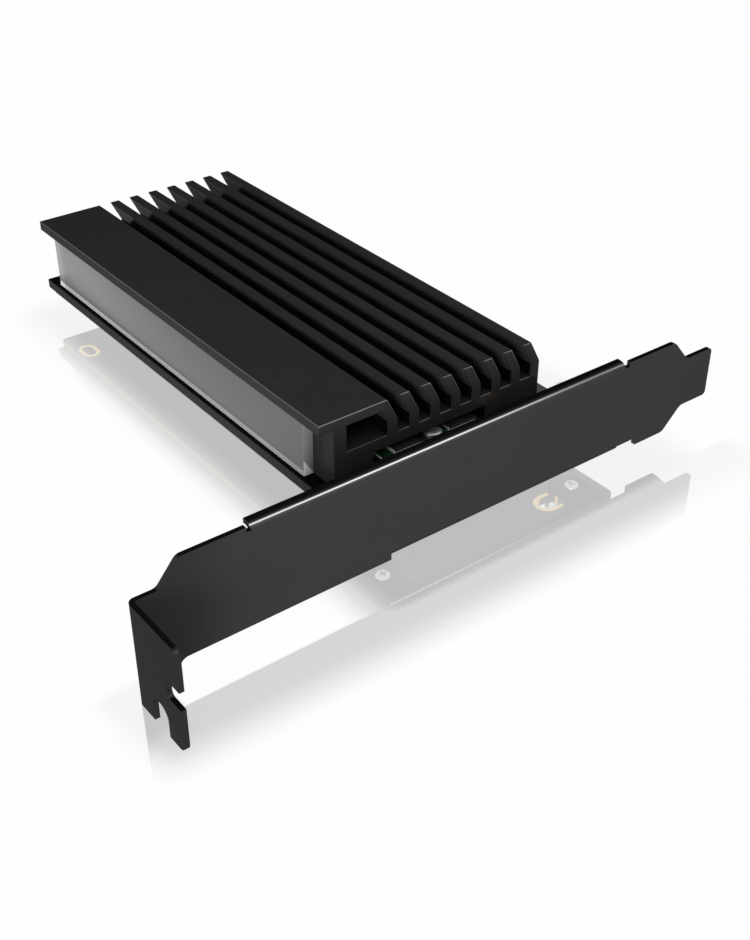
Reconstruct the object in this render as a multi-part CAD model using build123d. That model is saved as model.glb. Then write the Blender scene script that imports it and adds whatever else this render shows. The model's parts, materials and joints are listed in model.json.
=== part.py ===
"""Expansion card that carries one solid state drive under a finned heat sink, with its slot bracket.

X runs along the bracket from the screw tab to the tongue, Y away from the bracket along the card and
Z up from the board to the heat sink. The origin is the centre of the bracket plate's outer face.
"""

import os
from math import tan, radians

from build123d import *

# Slot bracket: one folded sheet
bracket_length = 120.02
plate_width = 18.42
sheet = 0.86
tab_reach = 12.5
tab_top_drop = 4.3
tab_low_drop = 4.78
tab_bend_radius = 1.2
tab_corner_radius = 1.5
tab_shoulder_x = 4.7
tab_slope_top = 3.6
tab_slope_low_x = 4.2
tab_slope_low = 3.4
slot_width = 4.3
slot_from_plate = 6.15
slot_height = 5.0
notch_depth = 3.65
notch_width = 3.3
notch_from_top = 7.4
plate_corner_radius = 1.5

tongue_length = 6.74
tongue_top_drop = 4.42
tongue_width = 9.83
tongue_tip_radius = 0.8
tongue_slope_top = 3.73
tongue_slope_low = 4.17
step_length = 4.62
step_height = 1.45

upper_flange_start = 20.4
upper_flange_reach = 2.3
lower_flange_inset_left = 1.15
lower_flange_inset_right = 2.5
lower_flange_reach = 2.2
lower_flange_rise = 0.21
fold_inner_radius = 0.84
relief_width = 0.9
relief_depth = 0.85
ear_width = 6.8
ear_reach = 10.2
ear_corner_radius = 1.0

# Screws that hold the bracket's ears to the board
ear_screw_inset = 3.5
ear_screw_y = 6.8
ear_screw_diameter = 1.6
ear_head_diameter = 2.8
ear_head_height = 0.95
nut_across_flats = 3.2
nut_height = 1.3
screw_end_length = 0.3

# Board and its edge connector
board_from_tip = 20.22
board_length = 115.85
board_width = 54.9
board_thickness = 1.6
board_fold_clearance = 0.05
board_corner_radius = 0.8
edge_from_near_end = 43.75
edge_reach = 8.25
edge_key_width = 1.9
edge_key_depth = 7.9
edge_count_before_key = 11
edge_count_after_key = 21
edge_pitch = 1.0
edge_side_margin = 0.825
edge_bevel = 0.5
edge_bevel_angle = 20
contact_width = 0.7
contact_length = 5.4
contact_from_edge = 1.2
contact_thickness = 0.05

# Plated slots in the board
far_slot_from_left = 2.5
far_slot_from_far_end = 8.3
far_slot_length = 5.7
far_slot_width = 3.9
near_slot_from_right = 11.5
near_slot_from_near_end = 4.95
near_slot_length = 6.5
near_slot_width = 5.1
slot_ring_width = 0.85
plating_wall = 0.3
plating_thickness = 0.05

# Screw drives
recess_blade = 0.5
recess_depth_share = 0.5
head_edge_share = 0.3

# Solid state drive and what holds it
drive_length = 80.0
drive_width = 22.0
drive_thickness = 0.8
drive_from_left = 23.15
drive_from_near_end = 15.05
drive_lift = 2.45
drive_notch_diameter = 3.5
tongue_side_step = 1.075
tongue_depth = 3.6
key_notch_width = 1.2
key_notch_offset = 6.125
drive_contact_pitch = 0.5
drive_contact_width = 0.35
drive_contact_length = 2.6
chip_height = 1.35
controller_side = 14.0
flash_length = 18.0
flash_width = 14.0
memory_length = 8.0
memory_width = 12.0
chip_dot_diameter = 0.8
chip_dot_depth = 0.05
chip_dot_inset = 1.2
first_chip_from_tongue = 7.0
end_part_length = 5.5
end_part_height = 0.5
end_part_side_margins = (2.75, 0.45)
end_part_from_screw = (1.55, 3.85)
end_part_setback = 0.15
drive_capacitor_count = 8

socket_height = 4.2
socket_side_step = 0.05
socket_depth = 8.4
socket_clearance = 0.1
tail_width = 0.25
standoff_diameter = 4.4
standoff_foot_diameter = 3.0
drive_screw_diameter = 2.0
drive_head_diameter = 3.2
drive_head_height = 1.0
thread_clearance = 0.05

pad_thickness = 1.25
pad_margin = 1.5

# Heat sink: one extruded profile
sink_from_near_end = 14.51
sink_from_far_end = 0.43
sink_overhang = 1.2
open_strip_width = 7.41
fin_count = 7
fin_pitch = 4.627
fin_top_width = 2.05
fin_root_width = 2.2
fin_lean = 2.33
fin_lean_height = 4.4
fin_height = 7.0
floor_thickness = 2.38
pocket_gap_left = 2.19
pocket_gap_right = 0.61
lower_plate_thickness = 1.91
upper_plate_thickness = 1.94
channel_depth = 2.95
cavity_from_left = 5.58
cavity_from_groove = 2.28
cavity_corner_x = 1.16
cavity_corner_z = 2.3
sink_screw_diameter = 2.0
sink_head_diameter = 3.8
sink_head_height = 1.1
sink_screw_depth = 4.0
sink_screw_from_ends = 8.5
sink_screw_from_right = 6.3
sink_screw_from_left = 7.0

# Light guide and the strip of diodes behind it
guide_thickness = 2.1
guide_from_near_end = 5.94
guide_from_far_end = 4.37
guide_clearance = 0.03
guide_bevel = 0.2
strip_thickness = 0.6
strip_height = 8.0
strip_margin = 2.0
strip_rest_height = 0.4
diode_count = 9
diode_side = 3.0
diode_thickness = 0.8
diode_clearance = 0.1
diode_window_diameter = 2.4
diode_window_depth = 0.2
recess_clearance = 0.2
pin_count = 4
pin_pitch = 1.27
pin_diameter = 0.5
pin_clearance = 0.1
pin_below_board = 0.8
first_pin_from_strip_end = 2.0

# Parts on the uncovered strip of the board
regulator_length = 6.5
regulator_width = 3.5
regulator_height = 1.6
regulator_from_near_end = 18.5
lead_count = 3
lead_pitch = 2.3
lead_width = 0.7
lead_length = 1.4
lead_thickness = 0.25
inductor_side = 5.0
inductor_height = 3.0
inductor_from_near_end = 29.0
inductor_wall = 0.5
tank_capacitor_diameter = 5.0
tank_capacitor_height = 5.8
tank_capacitor_base = 0.9
tank_capacitor_from_near_end = 10.5
small_part_length = 2.0
small_part_width = 1.25
small_part_height = 0.8
small_part_pitch = 2.9
end_cap_share = 0.2
resistor_height = 0.5
coupling_count = 8
coupling_pitch = 3.4
coupling_length = 1.6
coupling_width = 0.8
coupling_height = 0.4
clock_chip_side = 5.0
clock_chip_height = 0.9
coupling_column_gap = 0.96
strip_capacitor_count = 3
strip_resistor_count = 6
clock_chip_from_far_end = 8.0
case_corner_share = 0.16

# Places worked out from the sizes above
tab_x = -bracket_length / 2
tip_x = bracket_length / 2
plate_top = plate_width / 2
plate_low = -plate_width / 2
fold_outer_radius = fold_inner_radius + sheet
ear_low = plate_low + lower_flange_rise
ear_top = ear_low + sheet

board_x1 = tip_x - board_from_tip
board_x0 = board_x1 - board_width
board_y0 = sheet + fold_inner_radius + board_fold_clearance
board_y1 = board_y0 + board_length
board_low = ear_top
board_top = board_low + board_thickness
flange_x0 = board_x0 + lower_flange_inset_left
flange_x1 = board_x1 - lower_flange_inset_right
upper_flange_x0 = tab_x + upper_flange_start

drive_x = board_x0 + drive_from_left
drive_y0 = board_y0 + drive_from_near_end
drive_y1 = drive_y0 + drive_length
drive_low = board_top + drive_lift
drive_top = drive_low + drive_thickness
chip_top = drive_top + chip_height
end_parts_y0 = drive_y0 + end_part_setback
end_parts_y1 = end_parts_y0 + end_part_length
chip_lengths = (controller_side, memory_length, flash_length, flash_length)
chip_row_y1 = drive_y1 - first_chip_from_tongue
chip_spacing = (chip_row_y1 - end_parts_y1 - sum(chip_lengths)) / len(chip_lengths)
socket_width = drive_width - 2 * socket_side_step
pocket_x0 = drive_x - drive_width / 2 - pocket_gap_left
pocket_x1 = drive_x + drive_width / 2 + pocket_gap_right
pocket_roof = chip_top + pad_thickness

sink_x0 = board_x0 - sink_overhang
sink_x1 = board_x1 - open_strip_width
first_groove_x = sink_x1 - fin_count * fin_pitch
sink_y0 = board_y0 + sink_from_near_end
sink_y1 = board_y1 - sink_from_far_end
groove_floor = pocket_roof + floor_thickness
sink_top = groove_floor + fin_height
channel_x = sink_x0 + channel_depth
channel_low = board_top + lower_plate_thickness
channel_top = sink_top - upper_plate_thickness

guide_y0 = sink_y0 + guide_from_near_end
guide_y1 = sink_y1 - guide_from_far_end
recess_x = channel_x + diode_clearance + diode_thickness + strip_thickness
strip_y0 = guide_y0 + strip_margin
strip_y1 = guide_y1 - strip_margin
strip_low = channel_low + strip_rest_height
strip_top = strip_low + strip_height
pin_x = recess_x - strip_thickness / 2
pin_y0 = strip_y0 + first_pin_from_strip_end
edge_y0 = board_y0 + edge_from_near_end
edge_x = board_x1 + edge_reach
strip_part_x = board_x1 - open_strip_width / 2
tank_capacitor_y = board_y0 + tank_capacitor_from_near_end
regulator_y = board_y0 + regulator_from_near_end
inductor_y = board_y0 + inductor_from_near_end
clock_chip_y = board_y1 - clock_chip_from_far_end
ear_screw_xs = (flange_x0 + ear_screw_inset, flange_x1 - ear_screw_inset)
sink_screw_places = (
    (sink_x0 + sink_screw_from_left, sink_y0 + sink_screw_from_ends),
    (sink_x1 - sink_screw_from_right, sink_y0 + sink_screw_from_ends),
    (sink_x1 - sink_screw_from_right, sink_y1 - sink_screw_from_ends),
)


def outline(points, radii=None):
    """Closed face through the points, with each corner rounded by its own radius."""
    if radii is None:
        return make_face(Polyline(*points, close=True).edges())
    return make_face(FilletPolyline(*points, radius=radii, close=True).edges())


def along_x(points, x0, x1, radii=None):
    """Solid from a YZ outline, between two X positions."""
    return extrude(Pos(x0, 0, 0) * (Plane.YZ * outline(points, radii)), x1 - x0, dir=(1, 0, 0))


def along_y(points, y0, y1, radii=None):
    """Solid from an XZ outline, between two Y positions."""
    return extrude(Pos(0, y0, 0) * (Plane.XZ * outline(points, radii)), y1 - y0, dir=(0, 1, 0))


def along_z(points, z0, z1, radii=None):
    """Solid from an XY outline, between two Z positions."""
    return extrude(Pos(0, 0, z0) * outline(points, radii), z1 - z0, dir=(0, 0, 1))


def block(x0, x1, y0, y1, z0, z1):
    """Box between two corners."""
    return Pos((x0 + x1) / 2, (y0 + y1) / 2, (z0 + z1) / 2) * Box(x1 - x0, y1 - y0, z1 - z0)


def pin(x, y, z0, z1, diameter):
    """Upright cylinder between two heights."""
    return Pos(x, y, (z0 + z1) / 2) * Cylinder(diameter / 2, z1 - z0)


def oblong(x, y, length, width, z0, z1, turned=False):
    """Upright bar with round ends, its length along X, or along Y when turned."""
    bar = extrude(SlotOverall(length, width), z1 - z0, dir=(0, 0, 1))
    return Pos(x, y, z0) * (Rot(0, 0, 90 if turned else 0) * bar)


def cross_recess(x, y, z, head_height, span, direction):
    """Cross-shaped drive cut, sunk from a head's face at z in the given direction."""
    low, high = sorted((z, z + direction * head_height * recess_depth_share))
    half, blade = span / 2, recess_blade / 2
    return block(x - half, x + half, y - blade, y + blade, low, high) + block(
        x - blade, x + blade, y - half, y + half, low, high
    )


def one_node(name, solids):
    """Writes one or more separate solids as one sub-part."""
    shape = solids[0] if len(solids) == 1 else Compound(children=list(solids))
    export_step(shape, f"parts/{name}.step")
    return shape


def plate_outline():
    """Outline of the bracket's flat plate in X and Z, with the radius of each corner."""
    slope_x = tongue_slope_top
    tongue_x = tip_x - tongue_length
    tongue_low = plate_top - tongue_top_drop - tongue_width
    return (
        (
            (tab_x, plate_top - tab_top_drop),
            (tab_x + tab_shoulder_x, plate_top - tab_top_drop),
            (tab_x + tab_shoulder_x + tab_slope_top, plate_top),
            (tongue_x - slope_x, plate_top),
            (tongue_x, plate_top - tongue_top_drop),
            (tip_x, plate_top - tongue_top_drop),
            (tip_x, tongue_low),
            (tongue_x, tongue_low),
            (tongue_x - tongue_slope_low, plate_low),
            (tab_x + tab_slope_low_x + tab_slope_low, plate_low),
            (tab_x + tab_slope_low_x, plate_low - tab_low_drop),
            (tab_x, plate_low - tab_low_drop),
        ),
        (
            0,
            plate_corner_radius,
            plate_corner_radius,
            plate_corner_radius,
            plate_corner_radius,
            tongue_tip_radius,
            tongue_tip_radius,
            plate_corner_radius,
            plate_corner_radius,
            plate_corner_radius,
            plate_corner_radius,
            0,
        ),
    )


def tab_prism():
    """Screw tab as a slab along X, with its side notch and its open screw slot."""
    top, low = plate_top - tab_top_drop, plate_low - tab_low_drop
    notch_top = top - notch_from_top
    slab = along_x(
        ((sheet, top), (-tab_reach, top), (-tab_reach, low), (sheet, low)),
        tab_x,
        tab_x + tab_bend_radius,
        (0, tab_corner_radius, tab_corner_radius, 0),
    )
    notch_end = -tab_reach + notch_depth
    notch = along_x(
        (
            (-tab_reach - sheet, notch_top),
            (notch_end, notch_top),
            (notch_end, notch_top - notch_width),
            (-tab_reach - sheet, notch_top - notch_width),
        ),
        tab_x - sheet,
        tab_x + tab_bend_radius + sheet,
        (0, sheet, sheet, 0),
    )
    slot_round = low + slot_height - slot_width / 2
    slot = block(
        tab_x - sheet,
        tab_x + tab_bend_radius + sheet,
        -slot_from_plate - slot_width / 2,
        -slot_from_plate + slot_width / 2,
        low - sheet,
        slot_round,
    )
    slot_end = (
        Pos(tab_x + sheet, -slot_from_plate, slot_round)
        * Rot(0, 90, 0)
        * Cylinder(slot_width / 2, 4 * sheet)
    )
    return slab - notch - slot - slot_end


def fold(edge, direction, x0, x1, reach):
    """Rounded fold of the sheet at the plate's edge, with the flange that runs back from it."""
    inner = edge - direction * sheet
    root = edge - direction * (fold_outer_radius + sheet)
    return along_x(
        ((0, root), (0, edge), (reach, edge), (reach, inner), (sheet, inner), (sheet, root)),
        x0,
        x1,
        (0, fold_outer_radius, 0, 0, fold_inner_radius, 0),
    )


def ear_outline():
    """Outline of the lower flange seen from above: a strip with an ear at each end."""
    x0, x1 = flange_x0, flange_x1
    r = ear_corner_radius
    return (
        (
            (x0, -sheet),
            (x1, -sheet),
            (x1, ear_reach),
            (x1 - ear_width, ear_reach),
            (x1 - ear_width, lower_flange_reach),
            (x0 + ear_width, lower_flange_reach),
            (x0 + ear_width, ear_reach),
            (x0, ear_reach),
        ),
        (0, 0, r, r, r / 2, r / 2, r, r),
    )


def slot_bracket():
    """Bracket bent from one sheet: plate, screw tab, tongue, upper flange and lower ears."""
    points, radii = plate_outline()
    plate = along_y(points, 0, sheet, radii)
    far_y, far_x, high = 2 * tab_reach, 2 * bracket_length, 2 * plate_width
    section = along_z(
        (
            (tab_x, -far_y),
            (tab_x, sheet),
            (far_x, sheet),
            (far_x, 0),
            (tab_x + sheet, 0),
            (tab_x + sheet, -far_y),
        ),
        -high,
        high,
        (0, tab_bend_radius, 0, 0, tab_bend_radius - sheet, 0),
    )
    tab_low, tab_top = plate_low - tab_low_drop, plate_top - tab_top_drop
    corner_fill = block(tab_x, tab_x + tab_bend_radius, -tab_bend_radius, sheet, tab_low, tab_top)
    body = (plate + tab_prism() + corner_fill) & section
    relief_low = plate_top - relief_depth
    body -= block(upper_flange_x0, flange_x1, -sheet, 2 * sheet, plate_top - fold_outer_radius, high)
    body -= block(flange_x0, flange_x1, -sheet, 2 * sheet, -high, ear_low + fold_outer_radius)
    body -= block(upper_flange_x0 - relief_width, upper_flange_x0, -sheet, 2 * sheet, relief_low, high)
    body -= block(flange_x1, flange_x1 + relief_width, -sheet, 2 * sheet, relief_low, high)
    body -= block(flange_x1, flange_x1 + step_length, -sheet, 2 * sheet, -high, plate_low + step_height)
    body += fold(plate_top, 1, upper_flange_x0, flange_x1, upper_flange_reach)
    ear_points, ear_radii = ear_outline()
    lower = fold(ear_low, -1, flange_x0, flange_x1, ear_reach)
    body += lower & along_z(ear_points, -high, high, ear_radii)
    for x in ear_screw_xs:
        body -= pin(x, ear_screw_y, ear_low - sheet, ear_top + sheet, ear_screw_diameter + 2 * pin_clearance)
    return body


def bracket_screws():
    """Two screws with their heads under the ears."""
    top = board_top + nut_height + screw_end_length
    screws = []
    for x in ear_screw_xs:
        head = pin(x, ear_screw_y, ear_low - ear_head_height, ear_low, ear_head_diameter)
        head = fillet(head.edges().group_by(Axis.Z)[0], ear_head_height * head_edge_share)
        recess = cross_recess(
            x, ear_screw_y, ear_low - ear_head_height, ear_head_height, ear_screw_diameter, 1
        )
        screws.append(head + pin(x, ear_screw_y, ear_low, top, ear_screw_diameter) - recess)
    return screws


def bracket_nuts():
    """Two hexagon nuts on the board over the ears."""
    nuts = []
    for x in ear_screw_xs:
        body = extrude(RegularPolygon(nut_across_flats / 2, 6, major_radius=False), nut_height)
        hole = Cylinder(ear_screw_diameter / 2 + thread_clearance, 3 * nut_height)
        nuts.append(Pos(x, ear_screw_y, board_top) * (body - hole))
    return nuts


def edge_segments():
    """Y ranges of the two stretches of edge contacts, each with its number of contacts."""
    first = 2 * edge_side_margin + (edge_count_before_key - 1) * edge_pitch
    second = 2 * edge_side_margin + (edge_count_after_key - 1) * edge_pitch
    second_y0 = edge_y0 + first + edge_key_width
    return (
        (edge_y0, edge_y0 + first, edge_count_before_key),
        (second_y0, second_y0 + second, edge_count_after_key),
    )


def slot_places():
    """Centre, length, width and direction of each plated slot in the board."""
    return (
        (
            board_x0 + far_slot_from_left,
            board_y1 - far_slot_from_far_end,
            far_slot_length,
            far_slot_width,
            True,
        ),
        (
            board_x1 - near_slot_from_right,
            board_y0 + near_slot_from_near_end,
            near_slot_length,
            near_slot_width,
            False,
        ),
    )


def board():
    """Circuit board with its edge connector, slots and screw holes."""
    (first_y0, first_y1, _), (second_y0, second_y1, _) = edge_segments()
    r = board_corner_radius
    key_x = edge_x - edge_key_depth
    points = (
        (board_x0, board_y0),
        (board_x1, board_y0),
        (board_x1, first_y0),
        (edge_x, first_y0),
        (edge_x, first_y1),
        (key_x, first_y1),
        (key_x, second_y0),
        (edge_x, second_y0),
        (edge_x, second_y1),
        (board_x1, second_y1),
        (board_x1, board_y1),
        (board_x0, board_y1),
    )
    body = along_z(points, board_low, board_top, (r, r, r, r / 2, r / 2, 0, 0, r / 2, r / 2, r, r, r))
    slope = tan(radians(edge_bevel_angle))
    for z, direction in ((board_top, -1), (board_low, 1)):
        wedge = along_y(
            (
                (edge_x - edge_bevel / slope, z),
                (edge_x + edge_bevel, z + direction * edge_bevel * (1 + slope)),
                (edge_x + edge_bevel, z - direction * edge_bevel),
                (edge_x - edge_bevel / slope, z - direction * edge_bevel),
            ),
            edge_y0 - edge_bevel,
            second_y1 + edge_bevel,
        )
        body -= wedge
    body -= Compound(children=[lining for lining, _ in slot_linings()])
    body -= Compound(children=[hole for _, hole in slot_linings()])
    for x in ear_screw_xs:
        body -= pin(
            x, ear_screw_y, board_low - sheet, board_top + sheet, ear_screw_diameter + 2 * pin_clearance
        )
    for x, y in sink_screw_places:
        body -= pin(x, y, board_low - sheet, board_top + sheet, sink_screw_diameter + 2 * pin_clearance)
    for index in range(pin_count):
        y = pin_y0 + index * pin_pitch
        body -= pin(pin_x, y, board_low - sheet, board_top + sheet, pin_diameter + 2 * pin_clearance)
    body -= pin(
        drive_x, drive_y0, board_low - sheet, board_top + sheet, standoff_foot_diameter + 2 * pin_clearance
    )
    return body


def slot_linings():
    """Plated lining of each slot, flush with both faces of the board, and the hole through it."""
    pairs = []
    for x, y, length, width, turned in slot_places():
        wall = 2 * (slot_ring_width - plating_wall)
        inside = 2 * slot_ring_width
        lining = oblong(x, y, length - wall, width - wall, board_low, board_top, turned)
        lining += oblong(x, y, length, width, board_low, board_low + plating_thickness, turned)
        lining += oblong(x, y, length, width, board_top - plating_thickness, board_top, turned)
        hole = oblong(
            x, y, length - inside, width - inside, board_low - sheet, board_top + sheet, turned
        )
        pairs.append((lining, hole))
    return pairs


def slot_rings():
    """The plated linings with their holes open."""
    return [lining - hole for lining, hole in slot_linings()]


def edge_contacts():
    """Gold fingers on both faces of the edge connector."""
    fingers = []
    x1 = edge_x - contact_from_edge - edge_bevel
    for y0, _, count in edge_segments():
        for index in range(count):
            y = y0 + edge_side_margin + index * edge_pitch
            for low in (board_top, board_low - contact_thickness):
                fingers.append(
                    block(
                        x1 - contact_length,
                        x1,
                        y - contact_width / 2,
                        y + contact_width / 2,
                        low,
                        low + contact_thickness,
                    )
                )
    return fingers


def sink_profile():
    """Outline of the heat sink's section in X and Z, without its closed cavity."""
    knee = sink_top - fin_lean_height
    points = [
        (sink_x0, board_top),
        (sink_x0, channel_low),
        (channel_x, channel_low),
        (channel_x, channel_top),
        (sink_x0, channel_top),
        (sink_x0, sink_top),
        (first_groove_x - fin_lean, sink_top),
        (first_groove_x, knee),
        (first_groove_x, groove_floor),
    ]
    for index in range(fin_count):
        right = first_groove_x + (index + 1) * fin_pitch
        top_right = right - fin_lean
        points += [
            (right - fin_root_width, groove_floor),
            (right - fin_root_width, knee),
            (top_right - fin_top_width, sink_top),
            (top_right, sink_top),
            (right, knee),
            (right, groove_floor if index < fin_count - 1 else board_top),
        ]
    points += [
        (pocket_x1, board_top),
        (pocket_x1, pocket_roof),
        (pocket_x0, pocket_roof),
        (pocket_x0, board_top),
    ]
    return points


def heatsink():
    """Extruded heat sink with fins, side channel, cavity and drive pocket."""
    body = along_y(sink_profile(), sink_y0, sink_y1)
    cavity_x0 = sink_x0 + cavity_from_left
    cavity_x1 = first_groove_x - cavity_from_groove
    cavity = along_y(
        (
            (cavity_x0, groove_floor),
            (cavity_x1, groove_floor),
            (cavity_x1, channel_top - cavity_corner_z),
            (cavity_x1 - cavity_corner_x, channel_top),
            (cavity_x0, channel_top),
        ),
        sink_y0 - sheet,
        sink_y1 + sheet,
    )
    body -= cavity
    body -= block(
        channel_x - sheet,
        recess_x,
        strip_y0 - recess_clearance,
        strip_y1 + recess_clearance,
        strip_low,
        strip_top + recess_clearance,
    )
    reach = (pin_count - 1) * pin_pitch
    body -= block(
        pin_x - pin_diameter,
        pin_x + pin_diameter,
        pin_y0 - pin_diameter,
        pin_y0 + reach + pin_diameter,
        board_top - sheet,
        strip_low + pin_clearance,
    )
    for x, y in sink_screw_places:
        depth = sink_screw_depth + 2 * thread_clearance
        body -= pin(
            x, y, board_top - sheet, board_top + depth, sink_screw_diameter + 2 * thread_clearance
        )
    return body


def heatsink_screws():
    """Screws from under the board into the heat sink."""
    screws = []
    for x, y in sink_screw_places:
        low = board_low - sink_head_height
        head = pin(x, y, low, board_low, sink_head_diameter)
        head = fillet(head.edges().group_by(Axis.Z)[0], sink_head_height * head_edge_share)
        recess = cross_recess(x, y, low, sink_head_height, sink_screw_diameter, 1)
        shank = pin(x, y, board_low, board_top + sink_screw_depth, sink_screw_diameter)
        screws.append(head + shank - recess)
    return screws


def light_guide():
    """Clear bar in the side channel, with small bevels along its outer edges."""
    bar = block(
        channel_x - guide_thickness,
        channel_x,
        guide_y0,
        guide_y1,
        channel_low + guide_clearance,
        channel_top - guide_clearance,
    )
    return chamfer(bar.faces().sort_by(Axis.X)[0].edges(), guide_bevel)


def led_strip():
    """Narrow circuit board that carries the diodes, in a recess of the channel wall."""
    return block(recess_x - strip_thickness, recess_x, strip_y0, strip_y1, strip_low, strip_top)


def leds():
    """Diodes on the strip, facing the light guide."""
    diodes = []
    spacing = (strip_y1 - strip_y0) / diode_count
    z = (strip_low + strip_top) / 2
    x1 = recess_x - strip_thickness
    for index in range(diode_count):
        y = strip_y0 + (index + 0.5) * spacing
        case = block(
            x1 - diode_thickness,
            x1,
            y - diode_side / 2,
            y + diode_side / 2,
            z - diode_side / 2,
            z + diode_side / 2,
        )
        window = Rot(0, 90, 0) * Cylinder(diode_window_diameter / 2, 2 * diode_window_depth)
        diodes.append(case - Pos(x1 - diode_thickness, y, z) * window)
    return diodes


def led_pins():
    """Pins from the diode strip down through the heat sink and the board."""
    return [
        pin(pin_x, pin_y0 + index * pin_pitch, board_low - pin_below_board, strip_low, pin_diameter)
        for index in range(pin_count)
    ]


def drive_outline():
    """Outline of the drive's circuit board: its tongue has a key notch, its other end a screw notch."""
    x0, x1 = drive_x - drive_width / 2, drive_x + drive_width / 2
    step_y = drive_y1 - tongue_depth
    key_x = drive_x + key_notch_offset
    key = key_notch_width / 2
    return (
        (x0, drive_y0),
        (x1, drive_y0),
        (x1, step_y),
        (x1 - tongue_side_step, step_y),
        (x1 - tongue_side_step, drive_y1),
        (key_x + key, drive_y1),
        (key_x + key, step_y),
        (key_x - key, step_y),
        (key_x - key, drive_y1),
        (x0 + tongue_side_step, drive_y1),
        (x0 + tongue_side_step, step_y),
        (x0, step_y),
    )


def ssd_board():
    """Circuit board of the solid state drive."""
    body = along_z(drive_outline(), drive_low, drive_top)
    return body - pin(drive_x, drive_y0, drive_low - sheet, drive_top + sheet, drive_notch_diameter)


def drive_contacts():
    """Contacts on both faces of the drive's tongue, missing at the key notch."""
    contacts = []
    half = drive_width / 2 - tongue_side_step - drive_contact_pitch
    count = int(2 * half / drive_contact_pitch) + 1
    for index in range(count):
        offset = -half + index * drive_contact_pitch
        if abs(offset - key_notch_offset) < key_notch_width / 2 + drive_contact_width:
            continue
        x = drive_x + offset
        for low in (drive_top, drive_low - contact_thickness):
            contacts.append(
                block(
                    x - drive_contact_width / 2,
                    x + drive_contact_width / 2,
                    drive_y1 - drive_contact_length - contact_thickness,
                    drive_y1 - contact_thickness,
                    low,
                    low + contact_thickness,
                )
            )
    return contacts


def chip(x, y, width, length, height, z):
    """Flat chip with a dot sunk at its first corner."""
    body = block(x - width / 2, x + width / 2, y - length / 2, y + length / 2, z, z + height)
    dot_x, dot_y = x - width / 2 + chip_dot_inset, y + length / 2 - chip_dot_inset
    return body - pin(dot_x, dot_y, z + height - chip_dot_depth, z + 2 * height, chip_dot_diameter)


def chip_rows():
    """Middle of each chip along the drive, from the tongue to the screw."""
    y = chip_row_y1
    rows = []
    for length in chip_lengths:
        rows.append(y - length / 2)
        y -= length + chip_spacing
    return rows


def drive_chips():
    """Controller, memory and flash chips of the drive."""
    rows = chip_rows()
    controller = chip(drive_x, rows[0], controller_side, controller_side, chip_height, drive_top)
    memory = chip(drive_x, rows[1], memory_width, memory_length, chip_height, drive_top)
    flash = [chip(drive_x, y, flash_width, flash_length, chip_height, drive_top) for y in rows[2:]]
    return controller, memory, flash


def ssd_end_parts():
    """Two flat parts beside the drive's screw."""
    top = drive_top + end_part_height
    parts = []
    for side, margin, inner in zip((-1, 1), end_part_side_margins, end_part_from_screw):
        x0, x1 = sorted((drive_x + side * inner, drive_x + side * (drive_width / 2 - margin)))
        parts.append(block(x0, x1, end_parts_y0, end_parts_y1, drive_top, top))
    return parts


def two_terminal(x, y, length, width, height, z, turned=False):
    """Small two-terminal part: body and its two end caps, length along X or Y when turned."""
    cap = length * end_cap_share
    middle = block(-length / 2 + cap, length / 2 - cap, -width / 2, width / 2, 0, height)
    caps = [
        block(-length / 2, -length / 2 + cap, -width / 2, width / 2, 0, height),
        block(length / 2 - cap, length / 2, -width / 2, width / 2, 0, height),
    ]
    place = Pos(x, y, z) * Rot(0, 0, 90 if turned else 0)
    return place * middle, [place * c for c in caps]


def drive_capacitors():
    """Small capacitors along one side of the drive's controller and memory."""
    rows = chip_rows()
    bodies, caps = [], []
    x = drive_x + controller_side / 2 + small_part_width
    step = (rows[0] - rows[1]) / (drive_capacitor_count / 2)
    for index in range(drive_capacitor_count):
        y = rows[0] + step - index * step
        body, ends = two_terminal(
            x, y, small_part_length, small_part_width, small_part_height, drive_top, True
        )
        bodies.append(body)
        caps += ends
    return bodies, caps


def socket():
    """Card socket: housing with a slot for the drive's tongue and a key post in it."""
    y0 = drive_y1 - tongue_depth + socket_clearance
    y1 = y0 + socket_depth
    half = socket_width / 2
    body = block(drive_x - half, drive_x + half, y0, y1, board_top, board_top + socket_height)
    gap = contact_thickness + socket_clearance
    slot_half = drive_width / 2 - tongue_side_step + socket_clearance
    slot = block(
        drive_x - slot_half,
        drive_x + slot_half,
        y0 - sheet,
        drive_y1 + socket_clearance,
        drive_low - gap,
        drive_top + gap,
    )
    key_half = key_notch_width / 2 - socket_clearance
    key_x = drive_x + key_notch_offset
    post = block(
        key_x - key_half,
        key_x + key_half,
        y0,
        drive_y1 + socket_clearance,
        drive_low - gap,
        drive_top + gap,
    )
    return body - slot + post


def socket_tails():
    """Solder tails along the back of the card socket."""
    y0 = drive_y1 - tongue_depth + socket_clearance + socket_depth
    count = int((socket_width - 2 * drive_contact_pitch) / drive_contact_pitch)
    tails = []
    for index in range(count):
        x = drive_x + (index - (count - 1) / 2) * drive_contact_pitch
        half = tail_width / 2
        tails.append(block(x - half, x + half, y0, y0 + lead_width, board_top, board_top + lead_thickness))
    return tails


def socket_tabs():
    """Solder tabs at the two sides of the card socket."""
    y = drive_y1 - tongue_depth + socket_clearance + socket_depth / 2
    tabs = []
    for side in (-1, 1):
        face = drive_x + side * socket_width / 2
        x0, x1 = sorted((face, face + side * pocket_gap_right))
        tabs.append(block(x0, x1, y - lead_length, y + lead_length, board_top, board_top + lead_thickness))
    return tabs


def standoff():
    """Threaded standoff under the drive's free end, with a foot in the board."""
    body = pin(drive_x, drive_y0, board_top, drive_low, standoff_diameter)
    body += pin(drive_x, drive_y0, board_low, board_top, standoff_foot_diameter)
    bore = drive_screw_diameter + 2 * thread_clearance
    return body - pin(drive_x, drive_y0, board_low - sheet, drive_top, bore)


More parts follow.
